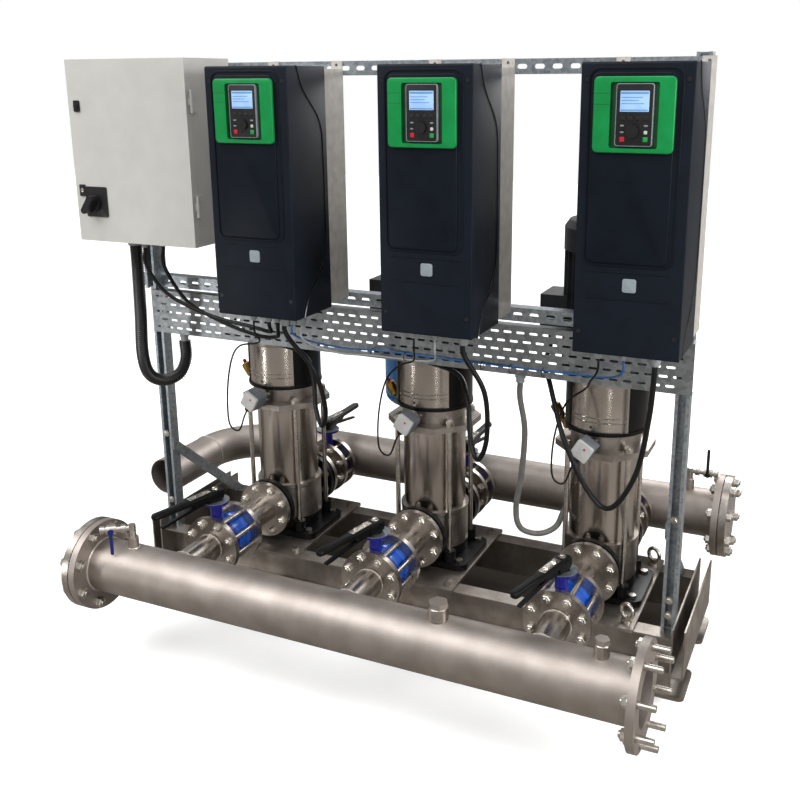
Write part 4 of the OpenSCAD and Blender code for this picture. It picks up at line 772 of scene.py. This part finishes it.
@dataclass(frozen=True)
class Drive(Unit):
    """One speed drive: moulded cover with its curved seam, raised panel, green bezel and keypad.

    Attributes:
        width: width of the cover.
        front: depth of the cover's face.
        rear: depth of the straight line where the cover ends.
        low: height of its foot.
        high: height of its head.
        bezel_z: height of the bezel's middle.
        nose: radius of the cover's front edges.
        keys_out: how far the keypad's face stands out from the cover's.
    """

    width: float = 265.4
    front: float = -564.0
    rear: float = -357.0
    low: float = 1139.0
    high: float = 1843.0
    bezel_z: float = 1723.0
    nose: float = 6.0
    keys_out: float = 16.6

    def build(self) -> None:
        """Make every piece of the drive's front."""
        self._cover()
        self._panel()
        self._bezel()
        self._keypad()

    def _place(self, dx: float, out: float, z: float) -> Place:
        """A place so far to the right of the drive's middle and out from its front."""
        return facing_front(self.x + dx, self.front - out, z)

    def _plate(self, dx: float, out: float, z: float, sizes: Sequence[float]) -> Array:
        """A rounded plate on the drive."""
        return slab(self._place(dx, out, z), *mm(*sizes))

    def _frame(self, dx: float, out: float, z: float, shape: Sequence[Sequence[float]]) -> Array:
        """A rounded frame on the drive."""
        outside, window, depth = shape
        return rim(self._place(dx, out, z), mm(*outside), mm(*window), *mm(*depth))

    def _key(self, dx: float, dz: float, sizes: Sequence[float], lift: float = 0.0) -> Array:
        """A plate on the keypad's face."""
        return self._plate(dx, self.keys_out + lift, self.bezel_z + dz, sizes)

    def _cover(self) -> None:
        """Front cover and rear shell as one side outline drawn across, and a bead along both seams."""
        arc = np.linspace(0.0, np.pi / 2.0, 5)
        near = np.stack([np.sin(arc), np.cos(arc)], axis=-1) * self.nose
        rear = np.array([[self.rear, self.low], [self.rear, self.high]])
        top = np.array([self.front + self.nose, self.high - self.nose]) + near * np.array([-1.0, 1.0])
        foot = np.array([self.front + self.nose, self.low + self.nose]) - near[::-1]
        outline = np.concatenate([rear, top, foot]) * MM
        side = Place(mm(self.x - self.width / 2.0, 0.0, 0.0), (0.0, 1.0, 0.0), (0.0, 0.0, 1.0))
        body = billet(side, outline, self.width * MM, 2.5 * MM)
        self._make("cover", NAVY, [body], slot="drive_navy", replaces="drive_covers")
        marks = [(0.0, self.front + depth, self.high - drop) for drop, depth in SEAM_MARKS]
        beads = []
        for sign in (-1.0, 1.0):
            seam = smooth_path(marks, 72)
            seam[:, 0] = self.x + sign * (self.width / 2.0 - 1.2)
            beads.append(tube(seam * MM, np.full(len(seam), 3.0 * MM), 10))
        self._make("seam_bead", SEAM, beads)

    def _panel(self) -> None:
        """Raised panel with the lip round it, two ribs, a bare badge and the corner screws, whose holes are
        black discs of painted shade.
        """
        panel = self._plate(-6, 0, 1595.5, PANEL)
        self._make("panel", NAVY_PANEL, [panel], slot="drive_navy", replaces="drive_covers")
        ribs = [self._plate(0, 0, z, RIB) for z in (1350, 1284)]
        self._make("lip", NAVY_PANEL, ribs, [self._frame(-3, 0, 1597.5, LIP)])
        self._make("bare_badge", BADGE, [self._plate(4, 0, 1319, BADGE_PLATE)])
        spots = [self._place(dx, 0, z) for dx in (-118, 118) for z in (1803, 1196)]
        self._make("screw_rims", NAVY_PANEL, closed=[torus(6.2, 0.9, spot, 20, 6) for spot in spots])
        # Flat black discs stand in for the screw holes: painted shade
        self._make("screw_hole_shade", BLACK_ABS, [revolve([(5.6, 0.0), (5.6, 0.6)], spot, 20) for spot in spots])

    def _bezel(self) -> None:
        """Green bezel with its recess and the split lines of its flap."""
        bezel = self._frame(-3, 4, self.bezel_z, BEZEL)
        self._make("bezel", GREEN, closed=[bezel], slot="keypad_green", replaces="keypads")
        self._make("bezel_well", DEEP_GREEN, [self._plate(-1.5, 4, self.bezel_z - 1, BEZEL_WELL)])
        lines = [self._plate(-79, 13.2, self.bezel_z + dz, FLAP_LINE) for dz in (49, 24)]
        self._make("flap_lines", DEEP_GREEN, lines)

    def _keypad(self) -> None:
        """Black keypad in a pale frame with its screen and keys."""
        block = self._plate(0, 6, self.bezel_z, KEYPAD)
        self._make("keypad", BLACK_ABS, [block], slot="black_plastic", replaces="keypads")
        keys = [self._key(dx, dz, GREY_KEY) for dx, dz in ((-27, -24), (-27, -39), (28, -24))]
        self._make("keypad_frame", KEY_GREY, keys, [self._frame(0, 6, self.bezel_z, KEYPAD_FRAME)])
        self._make("screen", SCREEN, [self._key(0, 31, (67, 47, *FLAT))])
        rows = [self._key(dx, dz, (width, height, *ROW), 0.9) for dx, dz, width, height in SCREEN_ROWS]
        self._make("screen_lines", SCREEN_BAR, rows)
        for part, finish, dx, dz, size in COLOUR_KEYS:
            self._make(part, finish, [self._key(dx, dz, (size, size, *FLAT))])
        self._make("soft_keys", RUBBER, [self._key(dx, -8, SOFT_KEY) for dx in (-27, -9, 9, 27)])


@dataclass(frozen=True)
class Pump(Unit):
    """What shows on one pump besides its solids: lantern, guard beads, pressure switch, vent cap.

    Attributes:
        port_z: height of the ports for the switch and the vent.
    """

    port_z: float = 731.0

    def build(self) -> None:
        """Make the pump's detail pieces."""
        self._lantern()
        self._guard()
        self._switch()
        self._vent_cap()
        self._notch_plates()

    def _lantern(self) -> None:
        """Black enamel columns on both sides and the black rim at the lantern's foot."""
        columns = []
        for start in (-44.2, 135.8):
            loop = sector_loop(0.1, 0.1286, start, start + 88.4)
            columns.append(billet(facing_up(self.x, 0, 764.6), loop, 0.1556, 0.8 * MM))
        band = [(124, -9), (130.6, -9), (131.6, -5), (130.6, 3), (124, 3)]
        self._make("lantern_enamel", ENAMEL, columns, [revolve(band, facing_up(self.x, 0, 765), 64)])

    def _guard(self) -> None:
        """Pressed beads of the front guard, and a flat black disc of painted shade for its screw hole."""
        turn = np.radians(np.linspace(-132.0, -48.0, 40))
        beads = []
        for z in (798.0, 812.0):
            ring = np.stack([126.0 * np.cos(turn) + self.x, 126.0 * np.sin(turn), np.full(40, z)], axis=-1)
            beads.append(tube(ring * MM, np.full(40, 2.0 * MM), 8))
        self._make("guard_beads", POLISHED, beads)
        # The screw hole is a flat black disc: painted shade for the hole's dark inside
        angle = math.radians(-98.0)
        out = np.array([math.cos(angle), math.sin(angle), 0.0])
        spot = mm(*(np.array([self.x, 0.0, 782.0]) + 125.6 * out))
        self._make("guard_hole_shade", BLACK_ABS, [revolve([(4.2, 0), (4.2, 0.9)], along(out, spot), 18)])

    def _switch(self) -> None:
        """Pressure switch: grey box, pale face with its lamp, steel nipple, black gland."""
        turn = math.radians(-6.0)
        roll = math.radians(30.0)
        ahead = np.array([-math.sin(turn), math.cos(turn), 0.0])
        side = np.array([math.cos(turn), math.sin(turn), 0.0])
        rise = np.array([0.0, 0.0, 1.0])
        right = side * math.cos(roll) - rise * math.sin(roll)
        up = side * math.sin(roll) + rise * math.cos(roll)
        root = np.array(mm(self.x, 0.0, self.port_z)) - ahead * 0.152
        box = Place(tuple(root), tuple(right), tuple(up))
        square = rounded_loop(*mm(56, 56, 6))
        node = "pressure_sensors"
        body = billet(box, square, 0.046, 2.0 * MM)
        self._make("switch_box", SENSOR, [body], slot="sensor_grey", replaces=node)
        face = billet(box.moved(0.0, 0.0, 0.0458), square, 0.0122, 1.6 * MM)
        self._make("switch_face", SENSOR_FACE, [face], slot="sensor_grey", replaces=node)
        lamp = revolve([(3.6, 0), (3.6, 0.8), (2.4, 1.6)], box.moved(0.004, 0.012, 0.0576), 16)
        self._make("switch_lamp", RED, [lamp])
        steps = [(8, -2), (8, 10), (11, 10), (11, 22), (8, 22), (8, 35.5)]
        nipple = revolve(steps, along(ahead, root), 6)
        self._make("switch_nipple", BRIGHT, [nipple], slot="stainless", replaces=node)
        dome = [(11, 0), (12, 3), (12, 11), (8, 18), (5, 21)]
        gland = revolve(dome, along(-up, root - ahead * 0.040 - up * 0.027), 20)
        self._make("switch_gland", BLACK_ABS, [gland], slot="black_plastic", replaces=node)

    def _vent_cap(self) -> None:
        """Red dust cap on the air vent's tip."""
        axis = np.array([-0.5, 0.0, 0.866])
        foot = np.array(mm(self.x - 130.0, 0.0, self.port_z)) + axis * 0.0815
        cap = revolve([(5.6, 0), (6.4, 2), (6.4, 11), (5.0, 13.2)], along(axis, foot), 18)
        self._make("vent_cap", RED, [cap])

    def _notch_plates(self) -> None:
        """Zinc-plated notch plates between the valve necks and their levers."""
        ring = [(22.5, 0.1), (45.5, 0.1), (45.5, 1.9), (22.5, 1.9)]
        stems = (SUCTION_VALVE_Y, DISCHARGE_VALVE_Y)
        plates = [revolve(ring, facing_up(self.x, y, 470.0), 40) for y in stems]
        self._make("notch_plates", ZINC, closed=plates)


# Reach, width, underside, top and corner radius of a lever's channel
LEVER_SECTIONS = (
    (-25, 28, 477.0, 505.0, 8), (-21, 40, 474.0, 508.6, 9), (-10, 46, 473.4, 509.2, 9),
    (20, 46, 473.4, 509.2, 8), (40, 42, 473.4, 509.0, 8), (43, 41, 489.2, 508.8, 7),
    (76, 37, 489.2, 507.6, 7), (82, 36, 485.5, 507.4, 7), (120, 29, 485.0, 506.0, 7),
    (150, 27.5, 484.0, 505.0, 8), (170, 28, 483.5, 504.5, 9.5), (226, 28.5, 483.5, 504.5, 10),
    (238, 26, 484.5, 503.6, 9), (244, 18, 486.5, 503.2, 6.9), (247, 9, 489.6, 502.6, 4),
)
# Side outline of the cheeks that flank a lever's trigger, as reach and height
CHEEK = ((34, 476.5), (76, 476.5), (110, 489), (110, 496), (34, 496))
# Fall of a lever's top for each unit of reach
LEVER_FALL = 0.0333


@dataclass(frozen=True)
class Lever:
    """Channel-section handle of one valve, with its cheeks, stem bolt and latch plate.

    Attributes:
        body: the body it rides on.
        x: stem position across the set.
        y: stem position along the set's depth.
        heading: direction of the handle from +Y, in degrees.
    """

    body: str
    x: float
    y: float
    heading: float

    def build(self) -> None:
        """Make the handle and its bright parts."""
        turn = math.radians(self.heading)
        reach = np.array([-math.sin(turn), math.cos(turn), 0.0])
        across = np.array([reach[1], -reach[0], 0.0])
        rise = np.array([0.0, 0.0, 1.0])
        stem = np.array([self.x, self.y, 0.0])
        rings = []
        for run, width, under, top, corner in LEVER_SECTIONS:
            loop = rounded_loop(width, top - under, corner)
            middle = stem + run * reach + (top + under) / 2.0 * rise
            rings.append(middle + loop[:, :1] * across + loop[:, 1:] * rise)
        handle = [np.array(rings) * MM]
        for offset in (-16.0, 11.0):
            side = Place(tuple((stem + offset * across) * MM), tuple(reach), tuple(rise))
            handle.append(billet(side, np.array(CHEEK, float) * MM, 5.0 * MM, 0.8 * MM))
        make_piece(f"{self.body}_handle", LEVER, handle, body=self.body)
        washer = revolve([(11, 0), (11, 1.6), (8, 1.6)], facing_up(self.x, self.y, 509.1), 24)
        bright = [washer, hex_nut(facing_up(self.x, self.y, 510.6), 0.0085, 0.006)]
        along_top = reach - LEVER_FALL * rise
        along_top /= np.linalg.norm(along_top)
        latch = Place(tuple((stem + 66.0 * reach + 506.2 * rise) * MM), tuple(across), tuple(along_top))
        bright.append(billet(latch, rounded_loop(*mm(22, 84, 4)), 3.6 * MM, 0.6 * MM))
        for run in (-0.020, 0.020):
            bright.append(hex_nut(latch.moved(0.0, run, 0.0034), 0.0072, 0.0052))
        make_piece(f"{self.body}_bolt", BRIGHT, bright, body=self.body)


@dataclass(frozen=True)
class BoltCircle:
    """Eight studs through a joint: threaded rods with a washer and a nut at each end.

    Attributes:
        centre: middle of the circle on the joint's first face.
        axis: direction from the first face to the last.
        grip: thickness of the joint.
        pitch_d: diameter of the circle.
        stud_d: diameter of a stud.
        spare: length of stud that stands out past its last nut.
        far_nut: the last face has washers and nuts.
    """

    centre: Point
    axis: Point
    grip: float
    pitch_d: float
    stud_d: float
    spare: float = 5.0
    far_nut: bool = True

    def grids(self) -> list[Array]:
        """Studs, washers and nuts of this circle."""
        nut_t = 0.8 * self.stud_d
        axis = np.array(self.axis)
        side = np.array([self.axis[1], self.axis[0], 0.0])
        turn = np.radians(22.5 + 45.0 * np.arange(8))[:, None]
        spread = np.cos(turn) * side + np.sin(turn) * np.array([0.0, 0.0, 1.0])
        end = self.grip + (nut_t + self.spare if self.far_nut else self.spare)
        half = self.stud_d / 2.0
        rod = [(half - 1.5, -nut_t - 5.0), (half, -nut_t - 3.5), (half, end - 1.5), (half - 1.5, end)]
        made = []
        for spot in np.array(self.centre) + self.pitch_d / 2.0 * spread:
            made.append(revolve(rod, along(axis, mm(*spot)), 12))
            made += self._nut(spot, -axis, nut_t)
            if self.far_nut:
                made += self._nut(spot + axis * self.grip, axis, nut_t)
        return made

    def _nut(self, spot: Array, out: Array, height: float) -> list[Array]:
        """One washer and one chamfered nut on a flange's face."""
        radius = 0.87 * self.stud_d
        profile = [(radius * 1.08, 0.0), (radius * 1.08, 2.0), (radius * 0.9, 2.2)]
        washer = revolve(profile, along(out, mm(*spot)), 20)
        return [washer, hex_nut(along(out, mm(*(spot + out * 2.0))), radius * MM, (height - 2.0) * MM)]


def fit_levers() -> None:
    """Handles of the suction and discharge valves."""
    for number, x in enumerate(PUMP_XS, 1):
        Lever(f"suction_lever_{number}", x, SUCTION_VALVE_Y, 165.0).build()
        Lever(f"discharge_lever_{number}", x, DISCHARGE_VALVE_Y, 0.0).build()


def sleeve_sockets() -> None:
    """Turned sleeves of the two capped sockets on the suction manifold."""
    sleeves = []
    for x, radius in ((395, 28.6), (843, 20.6)):
        profile = [(radius, 82), (radius, 117), (radius - 1.6, 119), (radius * 0.8, 119)]
        sleeves.append(revolve(profile, facing_up(x, SUCTION_Y, PIPE_Z), 36))
    make_piece("socket_sleeves", TURNED, sleeves)


def fit_door() -> None:
    """The main switch's cover plate and the lower lock on the cabinet's door."""
    face = -502.3
    lock = facing_front(-917, face, 1474)
    switch = facing_front(-864, face, 1440)
    plates = [slab(switch, *mm(84, 94, 4, 5, 1.2)), slab(lock, *mm(24, 36, 4, 4, 1.0))]
    make_piece("switch_plate", BLACK_ABS, plates, body="cabinet_door")
    core = revolve([(6.5, 3.8), (6.5, 5.2), (5.0, 5.8)], lock, 20)
    make_piece("lower_lock_core", BRIGHT, [core], body="cabinet_door")


def fit_transducer() -> None:
    """Pressure transducer on the discharge manifold, where the grey hose ends."""
    profile = [(14, 0), (14, 12), (11, 12.5), (11, 70), (9.8, 80)]
    body = revolve(profile, facing_up(556, DISCHARGE_Y, 438.15), 28)
    make_piece("transducer", BRIGHT, [body], slot="stainless", replaces="pressure_sensors")


def weld_pipework() -> None:
    """Weld beads where collars, flanges and the elbow join their pipes."""
    beads = []
    for x in PUMP_XS:
        for y, radius in ((-633.0, 46.5), (335.0, 46.5), (-499.0, 45.2), (-320.0, 45.2), (-165.0, 45.2)):
            beads.append(torus(radius, 2.2, along((0, 1, 0), mm(x, y, PIPE_Z))))
    suction_ends = ((-760.0, SUCTION_Y, 84.6), (936.0, SUCTION_Y, 84.6))
    discharge_ends = ((957.0, DISCHARGE_Y, 84.6), (-820.2, DISCHARGE_Y, 70.2))
    for x, y, radius in suction_ends + discharge_ends:
        beads.append(torus(radius, 2.6, along((1, 0, 0), mm(x, y, PIPE_Z))))
    beads.append(torus(70.2, 2.4, along((0, 1, 0), mm(-1045.4, 202, PIPE_Z))))
    for x, radius in ((-640, 17.5), (395, 24.5), (843, 17.5)):
        beads.append(torus(radius, 2.2, along((0, 0, 1), mm(x, SUCTION_Y, 404))))
    # The beads' light tone is partly a painted highlight along each bead
    make_piece("weld_beads", WELD, closed=beads)


def bolt_flanges() -> None:
    """Studs of every flanged joint."""
    across = (1.0, 0.0, 0.0)
    back = (0.0, 1.0, 0.0)
    circles = [
        BoltCircle((-809.0, SUCTION_Y, PIPE_Z), across, 49.0, 240.0, 20.0),
        BoltCircle((958.0, DISCHARGE_Y, PIPE_Z), across, 49.0, 240.0, 20.0),
        BoltCircle((937.0, SUCTION_Y, PIPE_Z), across, 22.0, 240.0, 18.4, 46.0, False),
    ]
    for x in PUMP_XS:
        for y, grip in ((-494.0, 150.0), (-180.0, 48.0), (132.0, 48.0), (246.0, 82.0)):
            circles.append(BoltCircle((x, y, PIPE_Z), back, grip, 160.0, 16.0))
    studs = [points for circle in circles for points in circle.grids()]
    make_piece("flange_studs", BRIGHT, studs, slot="polished_stainless", replaces="flange_bolts")


def nut_glands() -> None:
    """Pale dome nuts of the glands under the drives, round the cables that leave them."""
    large = [(7.6, -25), (11.5, -24), (14.5, -18), (14.5, -9), (16.5, -8), (16.5, 2)]
    small = [(6.4, -20), (9.0, -15), (9.0, -8), (10.5, -7), (10.5, 2)]
    nuts = [revolve(large, facing_up(*route[0]), 24) for route in MOTOR_ROUTES]
    for x in (-290, -260, -200, -170, 261, 796, *SWITCH_GLANDS):
        nuts.append(revolve(small, facing_up(x, -440, 1113), 20))
    make_piece("gland_nuts", NYLON, nuts)


def bolt_frame() -> None:
    """Bolts that hold the braces and the rails to the posts, with their washers."""
    heads = []
    for x in (-916.5, 916.5):
        for z in (250.0, 300.0, 560.0, 985.0, 1075.0):
            heads.append(revolve([(12, 0), (12, 2.2), (9, 2.2)], facing_front(x, -201.5, z), 24))
            heads.append(hex_nut(facing_front(x, -203.6, z), 0.0092, 0.0064))
    make_piece("strut_bolts", BRIGHT, heads)


def tie_cables() -> None:
    """Black cable ties round the two lines along the tray."""
    spots = [along((1, 0, 0), mm(x, -244, 974)) for x in (-40, 75, 330, 420, 520)]
    make_piece("cable_ties", BLACK_ABS, closed=[torus(13.0, 1.3, spot, 20, 6) for spot in spots])


def dress_nodes(frame: dict) -> None:
    """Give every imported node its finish; numbered nodes share one."""
    for name, node in frame["nodes"].items():
        finish = NODE_FINISH.get(name.rstrip("_0123456789"))
        if finish is None:
            continue
        node.data.materials.clear()
        node.data.materials.append(finish.material())


def lay_cords() -> None:
    """Lay every cord of the set."""
    Cord("conduit", "conduits", CONDUIT_ROUTE, 42 * MM, CORRUGATED, "conduit_black", "stiff", 7.0).build()
    Cord("grey_hose", "conduits", HOSE_ROUTE, 19 * MM, HOSE, "gland_grey", "stiff", 5.0).build()
    for i, route in enumerate(MOTOR_ROUTES, 1):
        Cord(f"motor_cable_{i}", "power_cables", route, 15 * MM, SHEATH, "cable_black", "stiff").build()
    for i, route in enumerate(CABINET_ROUTES, 1):
        Cord(f"cabinet_cable_{i}", "power_cables", route, 12 * MM, SHEATH, "cable_black").build()
    for i, (route, finish) in enumerate(zip(TRAY_ROUTES, (BLUE_SHEATH, PALE_SHEATH)), 1):
        Cord(f"tray_cable_{i}", "signal_cables", route, 6 * MM, finish, "cable_blue", "limp").build()
    for i, ends in enumerate(zip(PUMP_XS, SWITCH_GLANDS), 1):
        route = switch_route(*ends)
        Cord(f"switch_cable_{i}", "signal_cables", route, 6 * MM, SHEATH, "cable_black", "limp").build()


@dataclass(frozen=True)
class Studio:
    """Camera at the photograph's view, soft lights, pale world and floor."""

    eye: Point = (1.344, -2.891, 1.809)
    yaw: float = 0.425
    pitch: float = 0.263
    roll: float = -0.006
    lens_mm: float = 44.21
    shift: tuple[float, float] = (-0.0327, -0.0722)
    floor_half: float = 14.0

    def build(self) -> None:
        """Set the camera, the lights, the world and the floor."""
        camera = bpy.data.objects.new("camera", bpy.data.cameras.new("camera"))
        camera.data.lens = self.lens_mm
        camera.data.shift_x, camera.data.shift_y = self.shift
        turn = Matrix.Rotation(self.yaw, 4, "Z") @ Matrix.Rotation(math.pi / 2 - self.pitch, 4, "X")
        camera.matrix_world = Matrix.Translation(self.eye) @ turn @ Matrix.Rotation(self.roll, 4, "Z")
        scene = bpy.context.scene
        scene.collection.objects.link(camera)
        scene.camera = camera
        scene.view_settings.view_transform = "Standard"
        self._light("key", (-2.6, -3.0, 3.6), (0.0, 0.0, 0.9), (1.8, 1.8), 46.0)
        self._light("fill", (4.0, -1.4, 2.0), (0.0, 0.0, 0.8), (1.4, 1.4), 92.0)
        self._light("back", (0.6, 3.6, 2.6), (0.0, 0.0, 0.8), (1.6, 1.6), 56.0)
        self._light("strip_left", (-2.3, -2.5, 0.36), (0.0, 0.0, 0.6), (0.16, 0.7), 6.0)
        self._light("strip_right", (1.9, -3.2, 0.36), (0.2, 0.0, 0.6), (0.12, 0.7), 4.0)
        self._sun("top", (-0.35, -0.55, 1.0), 1.72, 50.0)
        self._world()
        self._floor()

    def _light(self, name: str, at: Point, to: Point, size: tuple[float, float], watts: float) -> None:
        """Add a soft light of the given width and height that looks at a point."""
        lamp = bpy.data.lights.new(name, "AREA")
        lamp.shape = "RECTANGLE"
        lamp.size, lamp.size_y = size
        lamp.energy = watts
        self._hang(lamp, along(np.array(at) - np.array(to), at))

    def _sun(self, name: str, at: Point, strength: float, spread: float) -> None:
        """Add an even light from afar, so that the floor has no bright pool."""
        lamp = bpy.data.lights.new(name, "SUN")
        lamp.energy = strength
        lamp.angle = math.radians(spread)
        self._hang(lamp, along(at, at))

    def _hang(self, lamp: bpy.types.Light, place: Place) -> None:
        """Put a lamp in its place, shining against the place's out axis."""
        axes = np.eye(4)
        axes[:3] = np.column_stack([place.right, place.up, place.out, place.at])
        made = bpy.data.objects.new(lamp.name, lamp)
        made.matrix_world = Matrix(axes.tolist())
        bpy.context.scene.collection.objects.link(made)

    def _world(self) -> None:
        """A room that is white to the camera, with light and dark walls in reflections."""
        world = bpy.data.worlds.new("studio")
        bpy.context.scene.world = world
        tree = empty_tree(world)
        coords = add_node(tree, "ShaderNodeTexCoord").outputs["Generated"]
        height = add_node(tree, "ShaderNodeSeparateXYZ", {0: coords}).outputs["Z"]
        upright = add_node(tree, "ShaderNodeMapping", {"Vector": coords, "Scale": (1.0, 1.0, 0.15)})
        stripes = {"Vector": upright.outputs[0], "Scale": 3.4, "Detail": 1.0}
        walls = add_node(tree, "ShaderNodeTexNoise", stripes).outputs[0]
        rise = remap(tree, height, (-0.2, 0.7), (0.25, 1.0))
        panels = remap(tree, walls, (0.44, 0.58), (0.04, 1.25))
        room = combine(tree, "MULTIPLY", rise, panels)
        seen = add_node(tree, "ShaderNodeLightPath").outputs["Is Camera Ray"]
        strength = add_node(tree, "ShaderNodeMix", {0: seen, 2: room, 3: 1.0}, data_type="FLOAT").outputs[0]
        sky = add_node(tree, "ShaderNodeBackground", {"Color": linear("#ffffff"), "Strength": strength})
        add_node(tree, "ShaderNodeOutputWorld", {"Surface": sky.outputs[0]})

    def _floor(self) -> None:
        """A large pale floor of one face."""
        mesh = bpy.data.meshes.new("floor")
        signs = ((-1, -1), (1, -1), (1, 1), (-1, 1))
        corners = [(self.floor_half * x, self.floor_half * y, 0.0) for x, y in signs]
        mesh.from_pydata(corners, [], [(0, 1, 2, 3)])
        mesh.materials.append(self._floor_paint())
        floor = bpy.data.objects.new("floor", mesh)
        bpy.context.scene.collection.objects.link(floor)

    def _floor_paint(self) -> bpy.types.Material:
        """Matt floor paint: near white to the camera, with a painted shadow under the skid, and grey in what
        the steel mirrors.
        """
        paint = bpy.data.materials.new("pale_floor_paint")
        tree = empty_tree(paint)
        bare = self._open_floor(tree)
        seen = combine(tree, "MULTIPLY", add_node(tree, "ShaderNodeLightPath").outputs["Is Camera Ray"], bare)
        # 4d4842 is a painted shadow under the skid; #8f8b86 is the grey floor as the steel mirrors it
        mirrored = blend(tree, bare, linear("#4d4842"), linear("#8f8b86"))
        surface = {
            # Under the skid the camera sees the painted shadow, without the floor's glow
            "Base Color": blend(tree, seen, mirrored, linear("#f4f4f3")),
            "Emission Strength": combine(tree, "MULTIPLY", seen, 0.38),
            "Emission Color": linear("#ffffff"),
            "Roughness": 0.9,
            "Specular IOR Level": 0.0,
        }
        matt = add_node(tree, "ShaderNodeBsdfPrincipled", surface)
        add_node(tree, "ShaderNodeOutputMaterial", {"Surface": matt.outputs[0]})
        return paint

    def _open_floor(self, tree: Tree) -> Socket:
        """Mask of the floor outside the painted shadow: one on the open floor, fading to nothing under the
        skid and between its beams.
        """
        coords = add_node(tree, "ShaderNodeTexCoord").outputs["Object"]
        parts = add_node(tree, "ShaderNodeSeparateXYZ", {0: coords})
        inside = []
        for axis, shift, near, far in (("X", 0.0, 0.84, 0.98), ("Y", -0.05, 0.28, 0.40)):
            away = combine(tree, "ABSOLUTE", combine(tree, "ADD", parts.outputs[axis], shift))
            inside.append(remap(tree, away, (near, far), (1.0, 0.0), interpolation_type="SMOOTHSTEP"))
        return combine(tree, "SUBTRACT", 1.0, combine(tree, "MULTIPLY", *inside))


def main() -> None:
    """Build the scene in order."""
    logging.basicConfig(level=logging.INFO, format="%(name)s %(message)s")
    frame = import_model()
    Studio().build()
    lay_cords()
    dress_nodes(frame)
    for number, x in enumerate(DRIVE_XS, 1):
        Drive(number, x).build()
    for number, x in enumerate(PUMP_XS, 1):
        Pump(number, x).build()
    fit_door()
    fit_levers()
    sleeve_sockets()
    fit_transducer()
    weld_pipework()
    bolt_flanges()
    nut_glands()
    bolt_frame()
    tie_cables()


if __name__ == "__main__":
    main()
